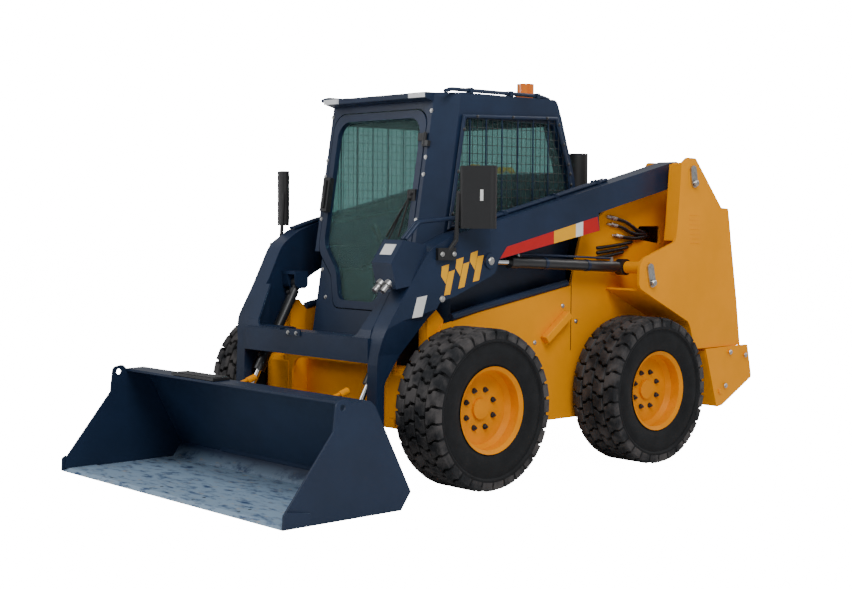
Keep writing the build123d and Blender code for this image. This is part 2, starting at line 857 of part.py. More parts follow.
def corner_wedge(inset):
    """What is cut from the cab's front corners, so that they are bevelled from the visor to the sides."""
    near, far = visor_half - inset, 620
    points = [(near, -110), (near, 0), (far, (far - near) * bevel), (far, -110)]
    wedge = on_front(extrude(Plane.XY.offset(nose_top - 200) * make_face(Polyline(*points, close=True)), amount=1200))
    return wedge + right_of(wedge)


def rear_glass_shape(start, end, inside, outside):
    """Strip along the upper slope of the cab's back, between two distances up the slope."""
    top = roof_z - 100
    length = hypot(391 - 282, top - 1604)
    ry, rz = (282 - 391) / length, (top - 1604) / length
    corners = ((start, inside), (end, inside), (end, outside), (start, outside))
    return [(391 + s * ry + d * rz, 1604 + s * rz - d * ry) for s, d in corners]


def door_points(half, top, bottom, grow):
    low = 185 + grow
    return [
        (-half, top, 90),
        (-half, 1190 - grow, 120),
        (-low - 55, 1050 - grow, 90),
        (-low, bottom, 60),
        (low, bottom, 60),
        (low + 55, 1050 - grow, 90),
        (half, 1190 - grow, 120),
        (half, top, 90),
    ]


def on_front(shape):
    """Leans a piece drawn upright at y = 0 into the plane of the cab's front."""
    lean = degrees(atan2(0.164, 1))
    return Pos(0, front_y(1400), 1400) * Rot(-lean, 0, 0) * Pos(0, 0, -1400) * shape


def door_cutter(half, top, bottom, grow):
    return on_front(front_plate(door_points(half, top, bottom, grow), -120, 90))


def door_frame():
    ring = front_plate(door_points(door_half, door_top, door_bottom, 4), -2, door_t - 2)
    ring -= front_plate(door_points(door_half - 42, door_top - 42, door_bottom + 42, -30), -10, door_t + 10)
    return on_front(ring)


def door_glass():
    """Pane behind the frame's opening, seated on the frame's inner face."""
    pane = front_plate(door_points(door_half - 30, door_top - 30, door_bottom + 30, -20), door_t - 2, door_t - 2 + glass_t)
    return on_front(pane)


def hinge_heights():
    return (1130, 1780)


def door_fittings():
    """Handle block and hinge knuckles, all on the door's outer face."""
    pieces = [block(-door_half + 2, -door_half + 60, -34, -2, 1400, 1590)]
    for z in hinge_heights():
        knuckle = block(hinge_x - 54, hinge_x, -hinge_out, -2, z, z + 40)
        knuckle += Pos(hinge_x, -hinge_out, z + 20) * Cylinder(12, 40)
        pieces.append(knuckle - Pos(hinge_x, -hinge_out, z + 20) * Cylinder(hinge_pin_r + run_fit, 60))
    return [on_front(p) for p in pieces]


def door_hinges():
    """Pins on the left post that the door's knuckles turn on."""
    pieces = []
    for z in hinge_heights():
        lug = block(hinge_x, hinge_x + 34, -hinge_out - 6, 0, z - 30, z - seat_gap)
        lug += Pos(hinge_x, -hinge_out, z - 15 - seat_gap / 2) * Cylinder(12, 30 - seat_gap)
        lug += Pos(hinge_x, -hinge_out, z + 8) * Cylinder(hinge_pin_r, 76)
        pieces.append(on_front(lug))
    return pieces


def side_guards():
    """Tube frame and flat bars over each side window."""
    r = 11
    x = cab_half + r + 0.2
    corners = [(-480, 1905), (-582, 1325), (350, 1480), (330, 1640), (225, 1925)]
    frame = mitred_tube([(x, y, z) for y, z in corners], r, close=True)
    for k in range(6):
        y = -440 + k * 120
        frame += block(x - 3, x + 3, y - 3, y + 3, 1325 + (y + 582) * 0.166, 1905 + (y + 480) * 0.028)
    return [frame, right_of(frame)]


def side_windows():
    inside = cab_half - cab_wall
    pane = extrude(Plane.YZ.offset(inside - glass_t) * offset(side_window_shape(), 12), amount=glass_t)
    return [pane, right_of(pane)]


def rear_window():
    return side_plate(rear_glass_shape(20, 320, 0, glass_t), -412, 412)


def seat():
    cushion = side_plate([(-190, 980, 12), (-190, 1080, 30), (150, 1066, 20), (150, 980, 12)], -240, 240)
    back = side_plate([(195, 980, 12), (118, 1500, 40), (205, 1516, 40), (285, 980, 12)], -220, 220)
    pan = block(-220, 220, -150, 280, nose_bottom + cab_wall, 980 - seat_gap)
    return cushion, back, pan


def beacon():
    return Pos(330, 190, roof_z) * Cylinder(58, 34, align=(Align.CENTER, Align.CENTER, Align.MIN)) + Pos(
        330, 190, roof_z + 34
    ) * Cylinder(48, 62, align=(Align.CENTER, Align.CENTER, Align.MIN))


def roof_lamps():
    lamp = block(300, 416, visor_y - 14, visor_y, roof_z - 29, roof_z - 2)
    return [lamp, right_of(lamp)]


def side_rails():
    """Round rails lying along the tops of the chassis sides."""
    r = 20
    x = (inner_x + frame_half) / 2
    rail = tube_path([(x, -640, 839.6 + r + 0.7), (x, -456, 878 + r + 0.6), (x, 235, 995.4 + r + 0.6)], r, 60)
    return [rail, right_of(rail)]


def rear_deck():
    """Fixed deck and bulkhead between the towers, behind the cab."""
    body = block(-inner_x, inner_x, deck_front, hood_front - side_clear, hood_z - hood_t, hood_z)
    body += block(-inner_x, inner_x, deck_front, deck_front + 14, seam_z + 60, hood_z - hood_t + 2)
    body += block(-inner_x, inner_x, hood_front - 20, hood_front + 40, hood_z - hood_t - 44, hood_z - hood_t - seat_gap)
    body += block(-inner_x, inner_x, hood_front - 20, hood_front - 6, hood_z - hood_t - 2, hood_z - 2)
    for x in hood_hinge_places():
        lug = side_plate(
            [(hood_front - 34, hood_z - 2), (hood_front - 34, hood_z + 14), (hood_axis_y, hood_axis_z + 10), (hood_axis_y, hood_axis_z),
             (hood_front - 8, hood_z + 6), (hood_front - 8, hood_z - 2)], x - 40, x
        )
        lug += rod_x(hood_axis_y, hood_axis_z, 10, x - 40, x)
        body += lug + rod_x(hood_axis_y, hood_axis_z, hood_pin_r, x - 20, x + 42)
    return body


def hood_hinge_places():
    return (-420, 420)


def engine_hood():
    body = block(-inner_x + 12, inner_x - 12, hood_front, tail_y + 10, hood_z - hood_t, hood_z)
    for x in hood_hinge_places():
        near = x + seat_gap
        body += rod_x(hood_axis_y, hood_axis_z, 10, near, near + 40)
        body += block(near, near + 40, hood_axis_y, hood_axis_y + 30, hood_z - 2, hood_z + 10)
        body -= rod_x(hood_axis_y, hood_axis_z, hood_pin_r + run_fit, near - 2, near + 44)
    return body


def gate_hinge_heights():
    return (760, 1230)


def tailgate():
    body = block(-tail_half, tail_half, tail_y, tail_y + tail_t, 640, hood_z - 30)
    for z in gate_hinge_heights():
        body += block(gate_hinge_x, gate_hinge_x + 60, tail_y + tail_t - 2, gate_hinge_y, z, z + 60)
        body += Pos(gate_hinge_x, gate_hinge_y, z + 30) * Cylinder(14, 60)
        body -= Pos(gate_hinge_x, gate_hinge_y, z + 30) * Cylinder(gate_pin_r + run_fit, 80)
    return body


def tailgate_hinges():
    """Pins on the right tower that the tailgate turns on."""
    pieces = []
    for z in gate_hinge_heights():
        lug = block(-inner_x, gate_hinge_x, gate_hinge_y - 8, gate_hinge_y + 14, z - 30, z - seat_gap)
        lug += Pos(gate_hinge_x, gate_hinge_y, z - 15 - seat_gap / 2) * Cylinder(14, 30 - seat_gap)
        lug += Pos(gate_hinge_x, gate_hinge_y, z + 20) * Cylinder(gate_pin_r, 96)
        pieces.append(lug)
    return pieces


def tailgate_grille():
    return block(-440, 440, tail_y + tail_t, tail_y + tail_t + 14, 900, 1330)


def air_cleaner():
    y = (deck_front + hood_front) / 2
    return Pos(300, y, hood_z + 160) * Cylinder(62, 320)


def hydraulic_hoses():
    """Short hoses looping out of the towers' inner plates, clear of the lift cylinders."""
    pieces = []
    x, out = frame_half, frame_half + 22
    for k, z in enumerate((1152, 1180, 1208)):
        far = 700 + 40 * k
        pieces.append(mitred_tube([(x, 480, z), (out, 480, z), (out, far, z + 30), (x, far, z + 30)], 9))
    return pieces + [right_of(p) for p in pieces]


def main():
    wheels()
    save("chassis_frame", chassis())
    save("engine_block", engine())
    mast = tower()
    save("tower_left", mast)
    save("tower_right", right_of(mast))
    save("tower_pins", *tower_pins())
    save("rear_bumper", rear_bumper())
    lift_arm = arm()
    save("arm_left", lift_arm)
    save("arm_right", right_of(lift_arm))
    save("cross_member", cross_member())
    box = coupler_box(lift_arm)
    save("coupler_box", box)
    save("quick_couplers", *quick_couplers(box))
    save("mirrors", *mirrors())
    save("arm_pipes", *arm_pipes())
    cylinders()
    save("hitch_plate", hitch_plate())
    save("hitch_levers", *hitch_levers())
    save("bucket_shell", bucket_shell())
    save("cutting_edge", cutting_edge())
    save("side_cutters", *side_cutters())
    save("bucket_step", bucket_step())
    save("cab_shell", cab_shell())
    save("door_frame", door_frame())
    save("door_glass", door_glass())
    save("door_fittings", *door_fittings())
    save("door_hinges", *door_hinges())
    save("side_guards", *side_guards())
    save("side_windows", *side_windows())
    save("rear_window", rear_window())
    cushion, back, pan = seat()
    save("seat_cushions", cushion, back)
    save("seat_pan", pan)
    save("beacon", beacon())
    save("roof_lamps", *roof_lamps())
    save("side_rails", *side_rails())
    save("engine_hood", engine_hood())
    save("rear_deck", rear_deck())
    save("tailgate", tailgate())
    save("tailgate_hinges", *tailgate_hinges())
    save("tailgate_grille", tailgate_grille())
    save("air_cleaner", air_cleaner())
    save("hydraulic_hoses", *hydraulic_hoses())


main()
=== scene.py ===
import json
import math

import bpy
import numpy as np
from mathutils import Matrix, Vector


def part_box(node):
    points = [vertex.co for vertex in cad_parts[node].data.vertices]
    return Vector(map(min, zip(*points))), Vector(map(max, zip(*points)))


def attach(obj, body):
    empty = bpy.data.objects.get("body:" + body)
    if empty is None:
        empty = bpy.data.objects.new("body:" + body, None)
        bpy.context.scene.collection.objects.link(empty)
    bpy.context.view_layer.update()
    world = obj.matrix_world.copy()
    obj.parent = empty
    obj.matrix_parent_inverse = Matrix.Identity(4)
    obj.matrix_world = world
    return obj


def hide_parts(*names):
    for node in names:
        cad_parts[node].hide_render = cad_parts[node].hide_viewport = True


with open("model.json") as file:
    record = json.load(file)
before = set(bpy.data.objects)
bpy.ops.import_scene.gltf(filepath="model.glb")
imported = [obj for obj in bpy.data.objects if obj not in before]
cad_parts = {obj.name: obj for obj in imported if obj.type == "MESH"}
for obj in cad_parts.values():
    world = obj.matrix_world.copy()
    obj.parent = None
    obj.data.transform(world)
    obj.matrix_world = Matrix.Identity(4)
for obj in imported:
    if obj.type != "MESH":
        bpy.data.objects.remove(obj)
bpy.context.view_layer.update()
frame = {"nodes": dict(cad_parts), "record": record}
print("frame loaded,", len(frame["nodes"]), "nodes")

# lengths along Y are counted from the middle of the wheelbase, in millimetres, as in the part's own source
midWheelbase = (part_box("rim_front_left")[0].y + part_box("rim_rear_left")[1].y) / 2
bothSides = (("Left", 1), ("Right", -1))
cabFace = {"y": -606.0, "z": 1896.0, "lean": 0.164}  # the cab's leaning front wall, lean is length per height


def toRow(points):
    # metres from millimetres, moved along Y to the frame's own origin
    row = np.array(points, float).reshape(-1, 3) / 1000
    row[:, 1] += midWheelbase
    return row


def frontY(z):
    # where the cab's front wall is at a height
    return cabFace["y"] - (cabFace["z"] - z) * cabFace["lean"]


# a form is an array of corners in millimetres and a list of faces


def ringFaces(rings, sides):
    # a cap on the first and the last ring, then quads that join each corner and the next one to the next ring
    row, k = np.meshgrid(np.arange(rings - 1) * sides, np.arange(sides), indexing="ij")
    n = (k + 1) % sides
    quads = np.stack([row + k, row + n, row + sides + n, row + sides + k], axis=-1).reshape(-1, 4)
    caps = [tuple(range(sides - 1, -1, -1)), tuple(range((rings - 1) * sides, rings * sides))]
    return caps + [tuple(quad) for quad in quads.tolist()]


def boxForm(low, high):
    # each corner takes its three places from the low or the high end
    (a, b, c), (d, e, f) = low, high
    corners = [(a, b, c), (d, b, c), (d, e, c), (a, e, c), (a, b, f), (d, b, f), (d, e, f), (a, e, f)]
    faces = [(3, 2, 1, 0), (4, 5, 6, 7), (0, 1, 5, 4), (1, 2, 6, 5), (2, 3, 7, 6), (3, 0, 4, 7)]
    return np.array(corners, float), faces


def plateForm(outline, push):
    # a flat outline, and the same outline moved by the push
    outline = np.array(outline, float)
    return np.vstack([outline, outline + np.array(push, float)]), ringFaces(2, len(outline))


def across(axis):
    # the axis and two directions square to it and to each other, by cross products, each of length one
    axis = np.array(axis, float) / np.linalg.norm(axis)
    side = np.cross(axis, (0, 0, 1) if abs(axis[2]) < 0.9 else (1, 0, 0))
    side /= np.linalg.norm(side)
    return axis, side, np.cross(axis, side)


def turnedForm(base, axis, profile, sides=20):
    # a profile of distances along the axis and radii, turned about the axis and closed by flat caps:
    # base plus axis times distance plus radius times the cosine of the angle to the side and its sine up
    axis, side, up = across(axis)
    angles = np.linspace(0, 2 * np.pi, sides, endpoint=False)
    ring = np.cos(angles)[:, None] * side + np.sin(angles)[:, None] * up
    along, radius = np.array(profile, float).T
    centers = np.array(base, float) + axis * along[:, None]
    corners = centers[:, None] + ring * radius[:, None, None]
    return corners.reshape(-1, 3), ringFaces(len(profile), sides)


def rodForm(start, end, radius, sides=16):
    # a turned rod whose ends are chamfered by a fifth of its radius or of its length
    span = np.array(end, float) - np.array(start, float)
    length = np.linalg.norm(span)
    soft = min(radius, length) * 0.2
    profile = [(0, radius - soft), (soft, radius), (length - soft, radius), (length, radius - soft)]
    return turnedForm(start, span, profile, sides)


# washer and head of a bolt and the steps of a cap, as shares of its height and radius; sunk is in millimetres
fastener = {
    "sunk": -1.0, "washerHigh": 0.25, "washerWide": 1.25, "shoulder": 0.85,
    "capSteps": ((0.45, 1.0), (0.8, 0.75), (1.0, 0.3)),
}


def boltForm(place, axis, radius, height):
    # a turned washer under a head that is turned with six sides
    wide = radius * fastener["washerWide"]
    shoulder = fastener["shoulder"]
    washer = [(fastener["sunk"], wide), (height * fastener["washerHigh"], wide)]
    head = [(0, radius), (height * shoulder, radius), (height, radius * shoulder)]
    return joined([turnedForm(place, axis, washer, 20), turnedForm(place, axis, head, 6)])


def capForm(place, axis, radius, height):
    # a low turned dome of three steps
    steps = [(height * up, radius * wide) for up, wide in fastener["capSteps"]]
    return turnedForm(place, axis, [(fastener["sunk"], radius), *steps], 16)


def joined(forms):
    # all corners one after the other, with each form's faces counted on from those before it
    corners, faces, start = [], [], 0
    for form, loops in forms:
        corners.append(form)
        faces += [tuple(v + start for v in loop) for loop in loops]
        start += len(form)
    return np.vstack(corners), faces


def mirrored(form):
    # x turned to minus x, and each face's order turned round
    corners, faces = form
    return corners * (-1, 1, 1), [tuple(reversed(loop)) for loop in faces]


def handed(form, flip):
    # a form drawn for the left side, as it is on the side asked for
    return form if flip > 0 else mirrored(form)


def tubeForm(points, radius, sides=12):
    # a circle carried along the points: it stands square to the path's slope at each point, and its side
    # is the last point's side less the part of it that runs along the path
    points = np.array(points, float)
    ahead = np.gradient(points, axis=0)
    ahead /= np.linalg.norm(ahead, axis=1)[:, None]
    angles = np.linspace(0, 2 * np.pi, sides, endpoint=False)[:, None]
    side = np.cross(ahead[0], (0.3, 0.2, 1.0))
    rings = []
    for point, way in zip(points, ahead):
        side = side - way * np.dot(side, way)
        side /= np.linalg.norm(side)
        rings.append(point + radius * (np.cos(angles) * side + np.sin(angles) * np.cross(way, side)))
    return np.vstack(rings), ringFaces(len(points), sides)


def roundCorners(points, bend, steps=6):
    # each corner gives way to the curve (1 - t) squared times its start, plus 2 t (1 - t) times the corner,
    # plus t squared times its end, for rigid bent pipes and rods
    points = [np.array(p, float) for p in points]
    t = np.linspace(0, 1, steps)[:, None]
    line = [points[0]]
    for before, corner, after in zip(points, points[1:], points[2:]):
        a = before - corner
        b = after - corner
        cut = min(bend, 0.45 * np.linalg.norm(a), 0.45 * np.linalg.norm(b))
        start = corner + a / np.linalg.norm(a) * cut
        end = corner + b / np.linalg.norm(b) * cut
        line.extend((1 - t) ** 2 * start + 2 * t * (1 - t) * corner + t**2 * end)
    line.append(points[-1])
    return line


def addPiece(name, form, finish, body, smoothAngle=35.0, bevel=0.0):
    # smoothAngle is in degrees and bevel in millimetres; the finish is also the piece's slot
    corners, faces = form
    mesh = bpy.data.meshes.new(name)
    mesh.from_pydata(toRow(corners).tolist(), [], faces)
    mesh.validate()
    mesh.polygons.foreach_set("use_smooth", [True] * len(mesh.polygons))
    mesh.set_sharp_from_angle(angle=math.radians(smoothAngle))
    mesh.materials.append(materials[finish])
    piece = bpy.data.objects.new(name, mesh)
    bpy.context.scene.collection.objects.link(piece)
    if bevel:
        edge = piece.modifiers.new("softEdges", "BEVEL")
        edge.width = bevel / 1000
        edge.segments = 2
        edge.limit_method = "ANGLE"
    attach(piece, body)
    return piece


def repaint(piece, material):
    piece.data.materials.clear()
    piece.data.materials.append(material)


# colours as scene-linear red, green and blue

paint = {
    "darkBlue": (0.0100, 0.0215, 0.0520),
    "orangeYellow": (0.900, 0.330, 0.000),
    "rimYellow": (0.840, 0.290, 0.000),
    "stripeRed": (0.520, 0.000, 0.002),
    "stripeOrange": (0.900, 0.420, 0.000),
    "blankWhite": (0.780, 0.780, 0.760),
    "tyreDark": (0.0075, 0.0082, 0.0095),
    "tyreDust": (0.075, 0.070, 0.070),
    "wornSteel": (0.260, 0.370, 0.500),
    "beigeDust": (0.420, 0.380, 0.320),
}


def newMaterial(name, color, roughness=0.5, metallic=0.0, coat=0.0, specular=0.5):
    material = bpy.data.materials.new(name)
    material.use_nodes = True
    shader = material.node_tree.nodes["Principled BSDF"]
    shader.inputs["Base Color"].default_value = (*color, 1.0)
    shader.inputs["Roughness"].default_value = roughness
    shader.inputs["Metallic"].default_value = metallic
    shader.inputs["Coat Weight"].default_value = coat
    shader.inputs["Specular IOR Level"].default_value = specular
    shader.inputs["Coat Roughness"].default_value = 0.15
    return material


def noiseRamp(material, scale, stops, detail=4.0, stretch=(1, 1, 1), roughness=0.55):
    # noise on Object coordinates through a ramp between two stops, each a place and a colour
    tree = material.node_tree
    coords = tree.nodes.new("ShaderNodeTexCoord")
    mapping = tree.nodes.new("ShaderNodeMapping")
    mapping.inputs["Scale"].default_value = stretch
    noise = tree.nodes.new("ShaderNodeTexNoise")
    noise.inputs["Scale"].default_value = scale
    noise.inputs["Detail"].default_value = detail
    noise.inputs["Roughness"].default_value = roughness
    ramp = tree.nodes.new("ShaderNodeValToRGB")
    ramp.color_ramp.elements[0].position, low = stops[0]
    ramp.color_ramp.elements[1].position, high = stops[1]
    ramp.color_ramp.elements[0].color = (*low, 1)
    ramp.color_ramp.elements[1].color = (*high, 1)
    tree.links.new(coords.outputs["Object"], mapping.inputs["Vector"])
    tree.links.new(mapping.outputs["Vector"], noise.inputs["Vector"])
    tree.links.new(noise.outputs["Fac"], ramp.inputs["Fac"])
    return ramp, noise


def mottle(material, scale, low, high, detail=4.0, stretch=(1, 1, 1), span=(0.35, 0.65)):
    # base colour that drifts between two shades
    ramp, _ = noiseRamp(material, scale, ((span[0], low), (span[1], high)), detail, stretch)
    tree = material.node_tree
    tree.links.new(ramp.outputs["Color"], tree.nodes["Principled BSDF"].inputs["Base Color"])


def grain(material, scale, strength, distance=0.001, detail=3.0):
    # fine bumps, distance in metres
    tree = material.node_tree
    _, noise = noiseRamp(material, scale, ((0.3, (0, 0, 0)), (0.7, (1, 1, 1))), detail)
    bump = tree.nodes.new("ShaderNodeBump")
    bump.inputs["Strength"].default_value = strength
    bump.inputs["Distance"].default_value = distance
    tree.links.new(noise.outputs["Fac"], bump.inputs["Height"])
    tree.links.new(bump.outputs["Normal"], tree.nodes["Principled BSDF"].inputs["Normal"])


def shade(color, factor):
    return tuple(min(1.0, c * factor) for c in color)


# heights in metres between which the bucket's floor goes from bare to painted, and how far up a face looks
wear = {"bareUnder": 0.018, "paintFrom": 0.075, "sideways": 0.3, "upwards": 0.8}


def wornBucketPaint():
    # faces that look up are scraped to bare steel with beige dirt near the ground, the rest keeps its paint
    blue = paint["darkBlue"]
    material = newMaterial("bucketPaint", blue, 0.40, specular=0.3)
    tree = material.node_tree
    shader = tree.nodes["Principled BSDF"]
    steelStops = ((0.36, shade(blue, 3.0)), (0.50, paint["wornSteel"]))
    dirtStops = ((0.57, (0, 0, 0)), (0.70, (0.8, 0.8, 0.8)))
    paintStops = ((0.35, shade(blue, 0.9)), (0.65, shade(blue, 1.15)))
    coarse, _ = noiseRamp(material, 9.0, steelStops, 8.0, (1, 2.5, 1), 0.7)
    dirt, _ = noiseRamp(material, 22.0, dirtStops, 6.0, (0.6, 1.6, 1), 0.7)
    mixDirt = tree.nodes.new("ShaderNodeMix")
    mixDirt.data_type = "RGBA"
    tree.links.new(dirt.outputs["Color"], mixDirt.inputs["Factor"])
    tree.links.new(coarse.outputs["Color"], mixDirt.inputs["A"])
    mixDirt.inputs["B"].default_value = (*paint["beigeDust"], 1)
    coords = tree.nodes.new("ShaderNodeTexCoord")
    split = tree.nodes.new("ShaderNodeSeparateXYZ")
    tree.links.new(coords.outputs["Object"], split.inputs["Vector"])
    height = tree.nodes.new("ShaderNodeMapRange")
    height.inputs["From Min"].default_value = wear["paintFrom"]
    height.inputs["From Max"].default_value = wear["bareUnder"]
    tree.links.new(split.outputs["Z"], height.inputs["Value"])
    facing = tree.nodes.new("ShaderNodeNewGeometry")
    faceSplit = tree.nodes.new("ShaderNodeSeparateXYZ")
    tree.links.new(facing.outputs["Normal"], faceSplit.inputs["Vector"])
    upward = tree.nodes.new("ShaderNodeMapRange")
    upward.inputs["From Min"].default_value = wear["sideways"]
    upward.inputs["From Max"].default_value = wear["upwards"]
    tree.links.new(faceSplit.outputs["Z"], upward.inputs["Value"])
    both = tree.nodes.new("ShaderNodeMath")
    both.operation = "MULTIPLY"
    tree.links.new(height.outputs["Result"], both.inputs[0])
    tree.links.new(upward.outputs["Result"], both.inputs[1])
    base, _ = noiseRamp(material, 3.0, paintStops)
    mixAll = tree.nodes.new("ShaderNodeMix")
    mixAll.data_type = "RGBA"
    tree.links.new(both.outputs[0], mixAll.inputs["Factor"])
    tree.links.new(base.outputs["Color"], mixAll.inputs["A"])
    tree.links.new(mixDirt.outputs["Result"], mixAll.inputs["B"])
    tree.links.new(mixAll.outputs["Result"], shader.inputs["Base Color"])
    grain(material, 60.0, 0.08)
    return material


def makeMaterials():
    blue = newMaterial("darkBluePaint", paint["darkBlue"], 0.36, coat=0.08, specular=0.3)
    mottle(blue, 3.0, shade(paint["darkBlue"], 0.85), shade(paint["darkBlue"], 1.2))
    grain(blue, 90.0, 0.05)
    yellow = newMaterial("orangeYellowPaint", paint["orangeYellow"], 0.42, specular=0.12)
    mottle(yellow, 2.5, shade(paint["orangeYellow"], 0.93), shade(paint["orangeYellow"], 1.04))
    grain(yellow, 90.0, 0.05)
    rim = newMaterial("rimPaint", paint["rimYellow"], 0.45, specular=0.10)
    mottle(rim, 7.0, shade(paint["rimYellow"], 0.82), paint["rimYellow"])
    black = newMaterial("blackPaint", (0.0100, 0.0110, 0.0130), 0.4, coat=0.15)
    mottle(black, 5.0, (0.008, 0.009, 0.011), (0.016, 0.017, 0.020))
    iron = newMaterial("castIron", (0.030, 0.031, 0.034), 0.6, 0.4)
    mottle(iron, 30.0, (0.022, 0.023, 0.025), (0.05, 0.05, 0.052))
    zinc = newMaterial("zincSteel", (0.55, 0.55, 0.55), 0.33, 1.0)
    mottle(zinc, 60.0, (0.42, 0.42, 0.42), (0.62, 0.62, 0.60))
    chrome = newMaterial("chromeRod", (0.75, 0.76, 0.78), 0.12, 1.0)
    mottle(chrome, 20.0, (0.70, 0.71, 0.73), (0.78, 0.79, 0.81))
    glass = newMaterial("tintedGlass", (0.42, 0.66, 0.64), 0.02)
    shader = glass.node_tree.nodes["Principled BSDF"]
    shader.inputs["Transmission Weight"].default_value = 0.93
    shader.inputs["IOR"].default_value = 1.15
    vinyl = newMaterial("seatVinyl", (0.012, 0.012, 0.013), 0.6)
    grain(vinyl, 400.0, 0.25, 0.0006)
    amber = newMaterial("amberLens", (0.95, 0.20, 0.002), 0.2, coat=0.6)
    mottle(amber, 40.0, (0.85, 0.16, 0.002), (0.98, 0.26, 0.004), stretch=(1, 1, 0.1))
    lens = newMaterial("lampLens", (0.80, 0.82, 0.84), 0.18, coat=0.6)
    plastic = newMaterial("blackPlastic", (0.010, 0.0105, 0.012), 0.5)
    grain(plastic, 500.0, 0.2, 0.0004)
    hose = newMaterial("hoseRubber", (0.0075, 0.0075, 0.008), 0.5)
    grain(hose, 700.0, 0.3, 0.0004)
    rubber = newMaterial("tyreRubber", paint["tyreDark"], 0.66, specular=0.2)
    mottle(rubber, 14.0, paint["tyreDark"], shade(paint["tyreDark"], 1.6), 6.0)
    grain(rubber, 160.0, 0.12, 0.001, 6.0)
    return {
        "dark_blue_paint": blue, "orange_yellow_paint": yellow, "rim_paint": rim, "black_paint": black,
        "cast_iron": iron, "zinc_steel": zinc, "chrome_rod": chrome, "cab_glass": glass, "seat_vinyl": vinyl,
        "amber_lens": amber, "lamp_lens": lens, "black_plastic": plastic, "hose_rubber": hose,
        "tyre_rubber": rubber,
    }


materials = makeMaterials()
bucketPaint = wornBucketPaint()
treadRubber = newMaterial("treadRubber", paint["tyreDust"], 0.75, specular=0.2)
mottle(treadRubber, 9.0, shade(paint["tyreDark"], 2.0), paint["tyreDust"], 7.0, span=(0.38, 0.60))
grain(treadRubber, 120.0, 0.3, 0.001, 6.0)
slotOfNode = {part["node"]: part["material_slot"] for part in frame["record"]["subparts"]}
for node, piece in frame["nodes"].items():
    worn = node in ("bucket_shell", "cutting_edge", "side_cutters")
    repaint(piece, bucketPaint if worn else materials[slotOfNode[node]])
print("materials set")


# camera, floor and light

camera = {
    "azimuth": 47.789, "pitch": 3.139, "roll": 0.346, "lens": 62.09,
    "eye": (6127.8, -5815.9, 1393.3),
}
light = {
    "skySeen": 18.0, "skyLight": 0.42, "floorGlow": 16.0, "floorColor": (0.80, 0.80, 0.80), "floorHalf": 60.0,
    "lampWide": 4.0,
    # name: place, aim and watts
    "lamps": {
        "keyLight": ((5.5, -3.0, 6.5), (0, 0, 0.9), 420),
        "fillLight": ((-3.5, -6.5, 4.0), (0, 0, 0.8), 170),
        "rearLight": ((1.5, 6.5, 5.0), (0, 0, 1.0), 190),
    },
}


def makeCamera():
    # azimuth, pitch and roll give the camera's three axes by their sines and cosines
    a, e, r = (math.radians(camera[k]) for k in ("azimuth", "pitch", "roll"))
    forward = Vector((-math.sin(a) * math.cos(e), math.cos(a) * math.cos(e), -math.sin(e)))
    right = Vector((math.cos(a), math.sin(a), 0))
    up = right.cross(forward)
    right, up = math.cos(r) * right + math.sin(r) * up, -math.sin(r) * right + math.cos(r) * up
    data = bpy.data.cameras.new("photoCamera")
    data.lens = camera["lens"]
    data.sensor_width = 36.0
    holder = bpy.data.objects.new("photoCamera", data)
    bpy.context.scene.collection.objects.link(holder)
    turn = Matrix((right, up, -forward)).transposed().to_4x4()
    holder.matrix_world = Matrix.Translation(Vector(toRow(camera["eye"])[0])) @ turn
    bpy.context.scene.camera = holder


def makeFloor():
    # what the camera sees of the floor glows a little, so that the plain background stays white
    half = light["floorHalf"]
    mesh = bpy.data.meshes.new("floor")
    corners = [(-half, -half, 0), (half, -half, 0), (half, half, 0), (-half, half, 0)]
    mesh.from_pydata(corners, [], [(0, 1, 2, 3)])
    floor = bpy.data.objects.new("floor", mesh)
    bpy.context.scene.collection.objects.link(floor)
    material = newMaterial("paleFloor", light["floorColor"], 0.9)
    tree = material.node_tree
    shader = tree.nodes["Principled BSDF"]
    path = tree.nodes.new("ShaderNodeLightPath")
    glow = tree.nodes.new("ShaderNodeMath")
    glow.operation = "MULTIPLY"
    glow.inputs[1].default_value = light["floorGlow"]
    tree.links.new(path.outputs["Is Camera Ray"], glow.inputs[0])
    tree.links.new(glow.outputs[0], shader.inputs["Emission Strength"])
    shader.inputs["Emission Color"].default_value = (1, 1, 1, 1)
    mesh.materials.append(material)


def addLight(name, place, aim, size, watts):
    lamp = bpy.data.lights.new(name, "AREA")
    lamp.shape = "DISK"
    lamp.size = size
    lamp.energy = watts
    holder = bpy.data.objects.new(name, lamp)
    bpy.context.scene.collection.objects.link(holder)
    holder.location = place
    holder.rotation_euler = (Vector(aim) - Vector(place)).to_track_quat("-Z", "Y").to_euler()


def makeLight():
    world = bpy.data.worlds.new("softSky")
    bpy.context.scene.world = world
    world.use_nodes = True
    tree = world.node_tree
    sky = tree.nodes["Background"]
    sky.inputs["Color"].default_value = (1, 1, 1, 1)
    path = tree.nodes.new("ShaderNodeLightPath")
    strength = tree.nodes.new("ShaderNodeMapRange")
    strength.inputs["To Min"].default_value = light["skyLight"]
    strength.inputs["To Max"].default_value = light["skySeen"]
    tree.links.new(path.outputs["Is Camera Ray"], strength.inputs["Value"])
    tree.links.new(strength.outputs["Result"], sky.inputs["Strength"])
    for name, (place, aim, watts) in light["lamps"].items():
        addLight(name, place, aim, light["lampWide"], watts)


makeCamera()
makeFloor()
makeLight()
print("camera, floor and light set")
